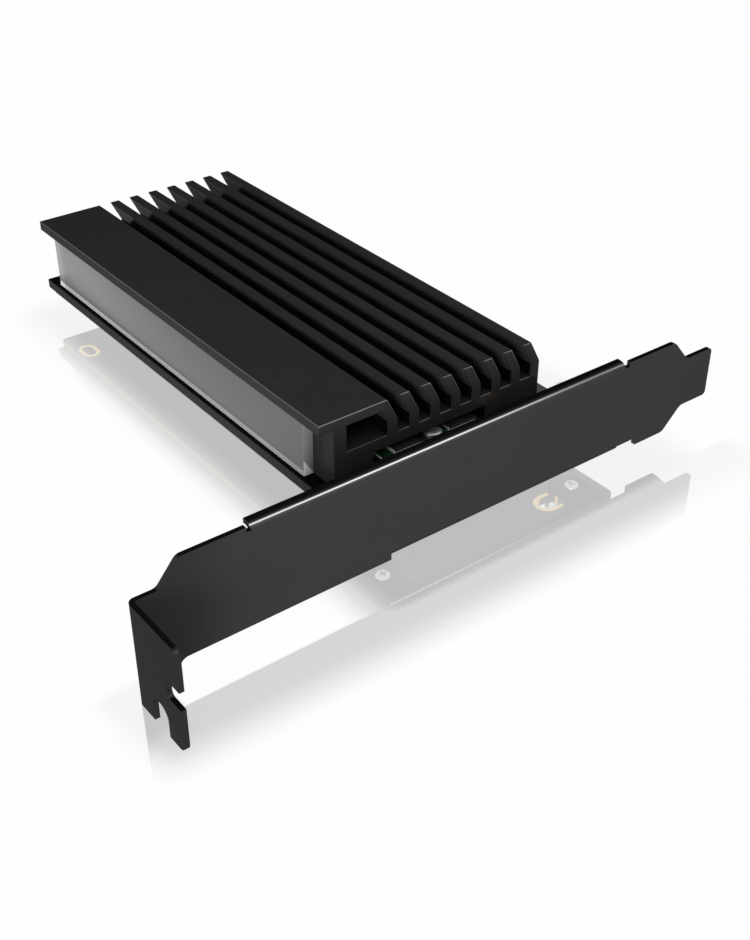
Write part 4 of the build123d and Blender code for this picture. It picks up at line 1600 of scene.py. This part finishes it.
@dataclass
class Bracket(Assembly):
    """Folded slot bracket, the screws through its ears and their nuts."""

    edge_rounding: float = 0.1
    head_radius: float = 1.4
    head_height: float = 0.95
    shank_radius: float = 0.8
    screw_turn: float = 25.0
    nut_flats: float = 3.2
    nut_chamfer: float = 0.12
    bore_gap: float = 0.05
    bore_pitch: float = 0.3

    def build(self) -> None:
        """Builds the sheet, the screws under the ears and the nuts on the board."""
        self.softened("slot_bracket", "bracket_sheet", Look.BRACKET, "bracket_paint", self.edge_rounding)
        rooms = solids_in("bracket_screws")
        length = rooms[0].size.z / MM - self.head_height
        screw = Screw(
            self.head_radius, self.head_height, self.shank_radius, length, recess_span=1.6, pitch=0.35, blade=0.45
        )
        places = [room.axis_at(room.low.z + self.head_height * MM) for room in rooms]
        first = screw.make("ear_screw", places[0], Head.DOWN)
        screws = repeated("bracket_ear_screws", first, places, self.screw_turn)
        self.wear(screws, Look.STEEL, "steel", "bracket_screws")
        nuts = [
            self._nut(f"ear_nut_{index}", room.axis_at(room.low.z), room.size.z / MM)
            for index, room in enumerate(solids_in("bracket_nuts"))
        ]
        self.wear(joined("bracket_ear_nuts", nuts), Look.STEEL, "steel", "bracket_nuts")

    def _nut(self, name: str, foot: Vector, height: float) -> Piece:
        """Hexagon nut with turned corners and a grooved bore.

        Args:
            name: Name of the new object.
            foot: Middle of its underside in metres.
            height: Its height in millimetres.

        Returns:
            The new object.
        """
        across = self.nut_flats / math.sqrt(3)
        corners = [
            foot + Vector((math.cos(math.radians(a)) * across * MM, math.sin(math.radians(a)) * across * MM, 0))
            for a in range(0, 360, 60)
        ]
        nut = prism(name, corners, metres(0, 0, height))
        half, keep = self.nut_flats / 2, self.nut_chamfer
        wide, past = half * 1.12, half * 1.6
        shape: list[Point] = [
            (half, height + 0.5), (half, height), (wide, height - keep), (wide, keep), (half, 0.0),
            (half, -0.5), (past, -0.5), (past, height + 0.5),
        ]
        shaper = turned("nut_shaper", shape, foot, 48)
        bore = self.shank_radius + self.bore_gap
        mouth = bore + 0.16
        grooves: list[Point] = [(0.0, -0.4), (mouth, -0.4), (mouth, 0.0), (bore, 0.14)]
        for index in range(int((height - 0.4) / self.bore_pitch)):
            low = 0.2 + index * self.bore_pitch
            grooves += [(bore, low), (bore + 0.07, low + 0.15)]
        grooves += [(bore, height - 0.14), (mouth, height), (mouth, height + 0.4), (0.0, height + 0.4)]
        cut(nut, shaper, turned("nut_thread", grooves, foot, 36))
        return settle(nut, 30.0)


@dataclass
class HeatSink(Assembly):
    """Finned extrusion over the drive, and the screws that hold it from under the board."""

    top_thickness: float = 1.94
    plate_thickness: float = 1.91
    channel_depth: float = 2.95
    first_groove_x: float = -0.009
    fin_count: int = 7
    fin_pitch: float = 4.627
    fin_root_width: float = 2.2
    fin_top_width: float = 2.05
    fin_lean: float = 2.33
    fin_lean_height: float = 4.4
    groove_floor: float = 1.69
    cavity: tuple[Point, ...] = ((-10.73, 1.69), (-2.29, 1.69), (-2.29, 4.45), (-3.45, 6.75), (-10.73, 6.75))
    pocket: tuple[float, float, float] = (-5.15, 19.65, -0.69)
    edge_rounding: float = 0.13
    recess_gap: float = 0.2
    recess_depth: float = 1.2
    pin_gap: float = 0.25
    head_radius: float = 1.9
    head_height: float = 1.1
    shank_radius: float = 1.0
    shank_length: float = 5.6
    screw_turn: float = 37.0
    hole_gap: float = 0.05

    def build(self) -> None:
        """Builds the extrusion and the screws that come up through the board."""
        room = span_of("heatsink")
        y0, y1 = room.low.y / MM, room.high.y / MM
        body = section_along_y("finned_extrusion", self._section(room), y0, y1)
        cavity = section_along_y("cavity_tool", self.cavity, y0 - 1, y1 + 1)
        cut(body, cavity, self._strip_recess())
        seats = [place.axis_at(place.low.z + self.head_height * MM) for place in solids_in("heatsink_screws")]
        bore = self.shank_radius + self.hole_gap
        hole: list[Point] = [(0.0, -0.5), (bore, -0.5), (bore, 4.1), (0.0, 4.6)]
        for seat in seats:
            cut(body, turned("screw_hole_tool", hole, Vector((seat.x, seat.y, room.low.z)), 24))
        soften(body, self.edge_rounding, 2, 18.0)
        self.wear(body, Look.SINK, "black_anodised", "heatsink")
        screw = Screw(self.head_radius, self.head_height, self.shank_radius, self.shank_length, recess_span=2.0)
        first = screw.make("sink_screw", seats[0], Head.DOWN)
        screws = repeated("heat_sink_screws", first, seats, self.screw_turn)
        self.wear(screws, Look.STEEL, "steel", "heatsink_screws")

    def _section(self, room: Span) -> list[Point]:
        """Outline of the extrusion seen from its end.

        Args:
            room: The heat sink's room.

        Returns:
            X and Z pairs in millimetres.
        """
        x0, low, top = room.low.x / MM, room.low.z / MM, room.high.z / MM
        channel_x = x0 + self.channel_depth
        plate, shelf = low + self.plate_thickness, top - self.top_thickness
        knee, floor = top - self.fin_lean_height, self.groove_floor
        left = self.first_groove_x
        points: list[Point] = [
            (x0, low), (x0, plate), (channel_x, plate), (channel_x, shelf), (x0, shelf), (x0, top),
            (left - self.fin_lean, top), (left, knee), (left, floor),
        ]
        for index in range(self.fin_count):
            right = left + (index + 1) * self.fin_pitch
            root, tip = right - self.fin_root_width, right - self.fin_lean
            foot = floor if index < self.fin_count - 1 else low
            points += [
                (root, floor), (root, knee), (tip - self.fin_top_width, top),
                (tip, top), (right, knee), (right, foot),
            ]
        x0_pocket, x1_pocket, roof = self.pocket
        return [*points, (x1_pocket, low), (x1_pocket, roof), (x0_pocket, roof), (x0_pocket, low)]

    def _strip_recess(self) -> Piece:
        """Tool for the recess in the channel's wall that the diode strip and its pins lie in.

        Returns:
            The tool.
        """
        strip, pins = span_of("led_strip"), span_of("led_pins")
        gap = self.recess_gap * MM
        wall = Span(
            Vector((strip.low.x - self.recess_depth * MM, strip.low.y - gap, strip.low.z)),
            Vector((strip.high.x, strip.high.y + gap, strip.high.z + gap)),
        )
        gap = self.pin_gap * MM
        well = Span(
            Vector((pins.low.x - gap, pins.low.y - gap, pins.low.z)),
            Vector((pins.high.x + gap, pins.high.y + gap, strip.low.z + 0.1 * MM)),
        )
        tool = block("strip_recess_tool", wall, 0)
        return joined("strip_recess_tool", [tool, block("pin_well_tool", well, 0)])


@dataclass
class SideLight(Assembly):
    """Frosted light guide in the heat sink's channel and the diode strip behind it."""

    edge_rounding: float = 0.12

    def build(self) -> None:
        """Builds the guide, the strip and the diodes."""
        guide = block("frosted_light_guide", span_of("light_guide"), self.edge_rounding, 3)
        self.wear(guide, Look.GUIDE, "frosted_acrylic", "light_guide")
        strip = block("diode_strip_board", span_of("led_strip"), 0.06, 1)
        self.wear(strip, Look.WHITE_MASK, "white_board", "led_strip")
        pins = filled("strip_pins", solids_in("led_pins"), 0.08, 2)
        self.wear(pins, Look.GOLD, "gold", "led_pins")
        self.softened("leds", "strip_diodes", Look.DIODE, "diode_case", 0.05, 1)


@dataclass
class Board(Assembly):
    """Main circuit board with its gold fingers, plated slots, tracks, vias and printed marks."""

    edge_rounding: float = 0.05
    track_width: float = 0.22
    track_height: float = 0.02
    track_overlap: float = 0.05
    shortest_track: float = 0.4
    low_track_reach: float = 6.0
    low_track_step: float = 2.2
    low_track_shifts: Point = (0.9, -1.2)
    via: tuple[Point, ...] = (
        (0.14, -0.01), (0.34, -0.01), (0.34, 0.012), (0.3, 0.028), (0.18, 0.028), (0.14, 0.012), (0.14, -0.01),
    )
    pad: tuple[Point, ...] = ((0.0, 0.0), (0.5, 0.0), (0.5, 0.012), (0.46, 0.03), (0.0, 0.03))
    upper_pads: tuple[Point, ...] = ((36.1, 28.5), (34.6, 28.5), (37.6, 28.5), (36.9, 84.6), (35.2, 84.6))
    lower_pads: tuple[Point, ...] = ((-6.0, 30.0), (-6.0, 33.0), (26.0, 96.0), (29.0, 96.0), (5.0, 108.0))
    solder: tuple[Point, ...] = (
        (0.0, 0.5), (0.16, 0.48), (0.22, 0.34), (0.36, 0.14), (0.62, 0.02), (0.62, 0.0), (0.0, 0.0),
    )
    land_margin: float = 0.14
    land_height: float = 0.04
    print_width: float = 0.15
    print_length: float = 1.1
    print_height: float = 0.015
    print_gap: float = 0.45
    print_margin: float = 0.2

    def build(self) -> None:
        """Builds the board and what is plated and printed on it."""
        plate = self.softened("board", "main_board", Look.BOARD, "board_black", self.edge_rounding, 1, 60.0)
        self.wear_sides(plate, Look.BOARD_CORE)
        self.wear_node("slot_rings", Look.GOLD)
        self.wear_node("edge_contacts", Look.GOLD)
        room = span_of("board")
        low, top = room.low.z / MM, room.high.z / MM
        ends = self._low_ends(room)
        tracks = [*self._upper_tracks(room, top), *self._lower_tracks(ends, low)]
        self.wear(joined("raised_tracks", tracks), Look.TRACK, "board_black")
        self._dots("track_vias", "via", self.via, 10, -1.0, [metres(*end, low) for _, end in ends], Look.GOLD)
        spots = [metres(x, y, top) for x, y in self.upper_pads]
        self._dots("test_pads", "test_pad", self.pad, 14, 1.0, spots, Look.GOLD)
        spots = [metres(x, y, low) for x, y in self.lower_pads]
        self._dots("under_pads", "low_pad", self.pad, 14, -1.0, spots, Look.GOLD)
        self._lands(top)
        self._printed(room, top)
        spots = [pin.axis_at(room.low.z) for pin in solids_in("led_pins")]
        self._dots("pin_solder_joints", "pin_solder", self.solder, 16, -1.0, spots, Look.TIN)

    def _dots(
        self,
        name: str,
        first_name: str,
        profile: Sequence[Point],
        steps: int,
        direction: float,
        places: Sequence[Vector],
        look: Look,
    ) -> None:
        """Builds small round things at several places.

        Args:
            name: Name of the new object.
            first_name: Name of its first round while it is made.
            profile: Radius and height pairs in millimetres.
            steps: Facets round each.
            direction: 1 on the board's top, or -1 under it.
            places: Their feet in metres.
            look: Their look.
        """
        first = turned(first_name, profile, places[0], steps, direction)
        self.wear(repeated(name, first, places), look, "tin" if look is Look.TIN else "gold")

    def _track(self, name: str, start: Point, end: Point, low: float, high: float) -> Piece:
        """Raised track that runs out, slants to the other end's line and runs in.

        Args:
            name: Name of the new object.
            start: X and Y of its start in millimetres.
            end: X and Y of its end.
            low: Height of its low face.
            high: Height of its high face.

        Returns:
            The new object.
        """
        (x0, y0), (x1, y1) = start, end
        half = self.track_width / 2
        slant = min(abs(y1 - y0), abs(x1 - x0) * 0.8)
        first = x0 + (x1 - x0 - math.copysign(slant, x1 - x0)) / 2
        second = first + math.copysign(slant if slant >= 0.02 else 0.05, x1 - x0)
        line = ((x0, y0), (first, y0), (second, y1), (x1, y1))
        upper = [(x, y + half) for x, y in line]
        lower = [(x, y - half) for x, y in reversed(line)]
        return plan_along_z(name, upper + lower, low, high)

    def _upper_tracks(self, room: Span, top: float) -> list[Piece]:
        """Tracks from the coupling capacitors to the edge connector.

        Args:
            room: The board's room.
            top: Height of the board's top in millimetres.

        Returns:
            The new objects.
        """
        contacts = [contact for contact in solids_in("edge_contacts") if contact.middle.z > room.middle.z]
        ends = solids_in("coupling_capacitor_ends")
        right = max(end.high.x for end in ends)
        outer = [end for end in ends if abs(end.high.x - right) < 0.05 * MM]
        tracks = []
        for index, end in enumerate(outer):
            near = min(contacts, key=lambda contact: abs(contact.middle.y - end.middle.y))
            start = (end.high.x / MM - self.track_overlap, end.middle.y / MM)
            stop = (near.low.x / MM + self.track_overlap, near.middle.y / MM)
            if stop[0] - start[0] >= self.shortest_track:
                tracks.append(self._track(f"track_{index}", start, stop, top - 0.01, top + self.track_height))
        return tracks

    def _low_ends(self, room: Span) -> list[tuple[Point, Point]]:
        """Both ends of each track under the board, two for every three contacts.

        Args:
            room: The board's room.

        Returns:
            X and Y in millimetres of the contact's end and of the far end.
        """
        contacts = [contact for contact in solids_in("edge_contacts") if contact.middle.z <= room.middle.z]
        ends = []
        for index, contact in enumerate(contacts):
            if index % 3 == 2:
                continue
            x, y = contact.low.x / MM, contact.middle.y / MM
            reach = self.low_track_reach + self.low_track_step * (index % 5)
            ends.append(((x + self.track_overlap, y), (x - reach, y + self.low_track_shifts[index % 2])))
        return ends

    def _lower_tracks(self, ends: Sequence[tuple[Point, Point]], low: float) -> list[Piece]:
        """Tracks from the edge connector under the board.

        Args:
            ends: Both ends of each track.
            low: Height of the board's underside in millimetres.

        Returns:
            The new objects.
        """
        return [
            self._track(f"low_{index}", start, stop, low - self.track_height, low + 0.01)
            for index, (start, stop) in enumerate(ends)
        ]

    def _lands(self, top: float) -> None:
        """Builds the tinned lands under the soldered parts' ends.

        Args:
            top: Height of the board's top in millimetres.
        """
        rooms = []
        grow = self.land_margin
        for node in ("strip_part_ends", "coupling_capacitor_ends", "regulator_leads", "card_socket_tabs"):
            for end in solids_in(node):
                low, high = end.low / MM, end.high / MM
                foot = metres(low.x - grow, low.y - grow, top)
                rooms.append(Span(foot, metres(high.x + grow, high.y + grow, top + self.land_height)))
        self.wear(filled("soldered_lands", rooms, 0.02), Look.TIN, "tin")

    def _printed(self, room: Span, top: float) -> None:
        """Builds the white corner marks printed round the larger parts.

        Args:
            room: The board's room.
            top: Height of the board's top in millimetres.
        """
        w, run, gap = self.print_width, self.print_length, self.print_gap
        steps = ((0.0, 0.0), (run, 0.0), (run, w), (w, w), (w, run), (0.0, run))
        edge = room.high.x / MM - self.print_margin
        marks = []
        for node in ("inductor_case", "tank_capacitor_base", "regulator", "clock_chip"):
            part = span_of(node)
            low, high = part.low / MM, part.high / MM
            for side_x, x in ((1.0, min(low.x - gap, edge)), (-1.0, min(high.x + gap, edge))):
                for side_y, y in ((1.0, low.y - gap), (-1.0, high.y + gap)):
                    outline = [(x + side_x * a, y + side_y * b) for a, b in steps]
                    marks.append(plan_along_z(f"mark_{node}", outline, top, top + self.print_height))
        self.wear(joined("printed_corner_marks", marks), Look.PRINT, "white_board")


@dataclass
class SmallParts(Assembly):
    """Assembly that carries soldered chips and two-terminal parts."""

    chip_rounding: float = 0.09
    dimple_inset: float = 1.2
    dimple: tuple[Point, ...] = ((0.0, -0.05), (0.3, -0.05), (0.42, 0.02), (0.42, 0.2), (0.0, 0.2))
    end_wrap: float = 0.03

    def chips(self, node: str, name: str) -> None:
        """Builds moulded chips with a dimple at their first corner.

        Args:
            node: CAD node that they stand for.
            name: Name of the new object.
        """
        parts = []
        for index, room in enumerate(solids_in(node)):
            body = block(f"{name}_{index}", room, self.chip_rounding, 2)
            inset = self.dimple_inset * MM
            corner = Vector((room.low.x + inset, room.high.y - inset, room.high.z))
            cut(body, turned("dimple_tool", self.dimple, corner, 20))
            parts.append(settle(body))
        self.wear(joined(name, parts), Look.CHIP, "chip_black", node)

    def bodies(self, node: str, name: str, look: Look, slot: str, axis: int = 0) -> None:
        """Builds the bodies of two-terminal parts, a little thinner than their wrapped ends.

        Args:
            node: CAD node that they stand for.
            name: Name of the new object.
            look: Their look.
            slot: The record's material slot.
            axis: 0 where the parts lie along X, or 1 where they lie along Y.
        """
        thin = self.end_wrap * MM
        rooms = solids_in(node)
        for room in rooms:
            room.low[axis] -= thin
            room.high[axis] += thin
            room.low[1 - axis] += thin
            room.high[1 - axis] -= thin
            room.high.z -= thin
        self.wear(filled(name, rooms, 0.03), look, slot, node)

    def ends(self, node: str, name: str, rounding: float = 0.07) -> None:
        """Builds rounded metal ends.

        Args:
            node: CAD node that they stand for.
            name: Name of the new object.
            rounding: Radius of their edges in millimetres.
        """
        self.wear(filled(name, solids_in(node), rounding, 2), Look.TIN, "tin", node)


@dataclass
class Drive(SmallParts):
    """Solid state drive with its chips, and the socket, pad, standoff and screw that hold it."""

    edge_line_width: float = 0.28
    edge_line_ends: Point = (0.3, 6.0)
    end_part_metal: float = 0.24
    end_part_lip: float = 0.14
    screw_seat_depth: float = 1.0
    screw: Screw = Screw(
        head_radius=1.76, head_height=0.75, shank_radius=1.0, shank_length=0.0, recess_span=1.5, blade=0.4,
        neck_radius=1.3, neck_height=1.25,
    )

    def build(self) -> None:
        """Builds the drive and what holds it."""
        plate = self.softened("ssd_board", "drive_board", Look.GREEN_MASK, "board_green", 0.04, 1, 60.0)
        self.wear_sides(plate, Look.BOARD_CORE)
        self._edge_line()
        self.wear_node("ssd_contacts", Look.GOLD)
        self.chips("ssd_controller", "drive_controller")
        self.chips("ssd_memory", "drive_memory")
        self.chips("ssd_flash_chips", "drive_flash_chips")
        self._end_parts()
        self.bodies("ssd_capacitors", "drive_capacitor_bodies", Look.CERAMIC, "ceramic_tan", 1)
        self.ends("ssd_capacitor_ends", "drive_capacitor_ends")
        self.softened("card_socket", "drive_socket", Look.SOCKET, "socket_black", 0.1)
        self.ends("card_socket_tails", "socket_tails", 0.03)
        self.ends("card_socket_tabs", "socket_tabs", 0.05)
        self.softened("drive_standoff", "threaded_standoff", Look.NICKEL, "standoff_nickel", 0.09)
        pad = block("soft_thermal_pad", span_of("thermal_pad"), 0.12, 2)
        self.wear(pad, Look.PAD, "pad_grey", "thermal_pad")
        room = span_of("drive_screw")
        seat = room.axis_at(room.high.z - self.screw_seat_depth * MM)
        screw = replace(self.screw, shank_length=(seat.z - room.low.z) / MM)
        # The drive's screw takes the darker steel: painted shade under the heat sink.
        self.wear(screw.make("drive_holding_screw", seat, Head.UP), Look.DULL_STEEL, "steel", "drive_screw")

    def _edge_line(self) -> None:
        """Builds the thin white line along the top of the drive's left edge."""
        room = span_of("ssd_board")
        (x, y0, _), (_, y1, z) = room.low / MM, room.high / MM
        near, far = self.edge_line_ends
        line = Span(metres(x, y0 + near, z - 0.02), metres(x + self.edge_line_width, y1 - far, z + 0.03))
        self.wear(block("drive_edge_line", line, 0.01, 1), Look.PRINT, "white_board")

    def _end_parts(self) -> None:
        """Builds the two flat parts beside the screw, with a metal left end and a metal lip at their feet."""
        bodies, metal = [], []
        lip, end = self.end_part_lip, self.end_part_metal
        for index, room in enumerate(solids_in("ssd_end_parts")):
            (x0, y0, z0), (x1, y1, z1) = room.low / MM, room.high / MM
            body = Span(metres(x0 + end * 0.5, y0 + lip, z0), metres(x1, y1 - lip, z1))
            bodies.append(block(f"end_part_{index}", body, 0.06, 2))
            metal.append(Span(metres(x0, y0 + lip * 0.6, z0), metres(x0 + end, y1 - lip * 0.6, z1)))
            metal.append(Span(metres(x0 + 0.1, y0, z0), metres(x1 - 0.1, y1, z0 + 0.05)))
        self.wear(joined("end_part_bodies", bodies), Look.CHIP, "chip_black", "ssd_end_parts")
        # The metal ends take the brighter copy of the tin: painted light in the shade under the heat sink.
        self.wear(filled("end_part_metal", metal, 0.03), Look.SOLDER, "tin")


@dataclass
class StripParts(SmallParts):
    """Parts soldered on the strip of board beside the heat sink."""

    can_groove: float = 0.16
    score_turns: Point = (30.0, 120.0)
    score_half_width: float = 0.07
    mark_inset: float = 0.8
    mark_half_angle: int = 60

    def build(self) -> None:
        """Builds every part on the strip."""
        self.softened("regulator", "voltage_regulator", Look.CHIP, "chip_black", 0.16)
        self.ends("regulator_leads", "regulator_leads_bent", 0.06)
        self.softened("inductor_case", "inductor_shield", Look.FERRITE, "ferrite", 0.16)
        self._core()
        self.softened("tank_capacitor_base", "capacitor_base", Look.SOCKET, "socket_black", 0.12)
        self._can()
        self.bodies("strip_capacitors", "strip_capacitor_bodies", Look.CERAMIC, "ceramic_tan")
        self.bodies("strip_resistors", "strip_resistor_bodies", Look.GLAZE, "resistor_black")
        self.ends("strip_part_ends", "strip_part_metal")
        self.bodies("coupling_capacitors", "coupling_bodies", Look.CERAMIC, "ceramic_tan")
        self.ends("coupling_capacitor_ends", "coupling_metal", 0.05)
        self.chips("clock_chip", "timing_chip")

    def _core(self) -> None:
        """Builds the inductor's core, a flanged drum with a dimple on its top."""
        room = span_of("inductor_core")
        r, h = room.size.x / MM / 2, room.size.z / MM
        profile: list[Point] = [
            (0.0, 0.0), (r - 0.1, 0.0), (r - 0.25, 0.2), (r - 0.25, h * 0.55), (r, h * 0.7), (r, h - 0.1),
            (r - 0.1, h), (r * 0.3, h), (r * 0.22, h - 0.12), (0.0, h - 0.15),
        ]
        core = turned("inductor_drum", profile, room.axis_at(room.low.z), 40)
        self.wear(core, Look.FERRITE, "ferrite", "inductor_core")

    def _can(self) -> None:
        """Builds the capacitor's can with its rolled groove, its scored top and its polarity mark."""
        room = span_of("tank_capacitor_can")
        r, h, g = room.size.x / MM / 2, room.size.z / MM, self.can_groove
        foot = room.axis_at(room.low.z)
        profile: list[Point] = [
            (0.0, 0.0), (r - 0.35, 0.0), (r - 0.08, 0.1), (r, 0.28), (r, 0.6), (r - g, 0.8), (r - g, 0.95),
            (r, 1.15), (r, h - 0.5), (r - 0.06, h - 0.28), (r - 0.2, h - 0.1), (r - 0.45, h),
            (r - 0.7, h - 0.05), (0.0, h - 0.05),
        ]
        can = turned("capacitor_can", profile, foot, 48)
        cut(can, *[self._score(foot, r, h, turn) for turn in self.score_turns])
        self.wear(settle(can), Look.CAN, "can_aluminium", "tank_capacitor_can")
        most, reach = self.mark_half_angle, r - self.mark_inset
        arc = [math.radians(angle) for angle in range(-most, most + 1, 10)]
        outline = [(foot.x / MM + math.sin(a) * reach, foot.y / MM - math.cos(a) * reach) for a in arc]
        top = foot.z / MM + h - 0.06
        mark = plan_along_z("capacitor_polarity_mark", outline, top, top + 0.025)
        self.wear(mark, Look.CHIP, "chip_black")

    def _score(self, foot: Vector, radius: float, height: float, turn: float) -> Piece:
        """Thin blade that scores the can's top.

        Args:
            foot: Foot of the can's axis in metres.
            radius: The can's radius in millimetres.
            height: The can's height.
            turn: Direction of the score in degrees.

        Returns:
            The tool to cut with.
        """
        along = Vector((math.cos(math.radians(turn)), math.sin(math.radians(turn)), 0)) * (radius * 0.6)
        across = Vector((-along.y, along.x, 0)).normalized() * self.score_half_width
        low, high = Vector((0, 0, height - 0.1)), Vector((0, 0, height + 0.2))
        points = [foot + (side - across + level) * MM for side, level in (
            (-along, low), (along, low), (along, high), (-along, high),
        )]
        return prism("score_tool", points, across * 2 * MM)


def main() -> None:
    """Loads the frame, then builds the studio and the card."""
    logging.basicConfig(level=logging.INFO, format="%(name)s: %(message)s")
    _frame.update(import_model())
    finishes = Finishes()
    Studio().build()
    for assembly in (Bracket, HeatSink, SideLight, Board, Drive, StripParts):
        assembly(finishes).build()
    put_down()


if __name__ == "__main__":
    main()
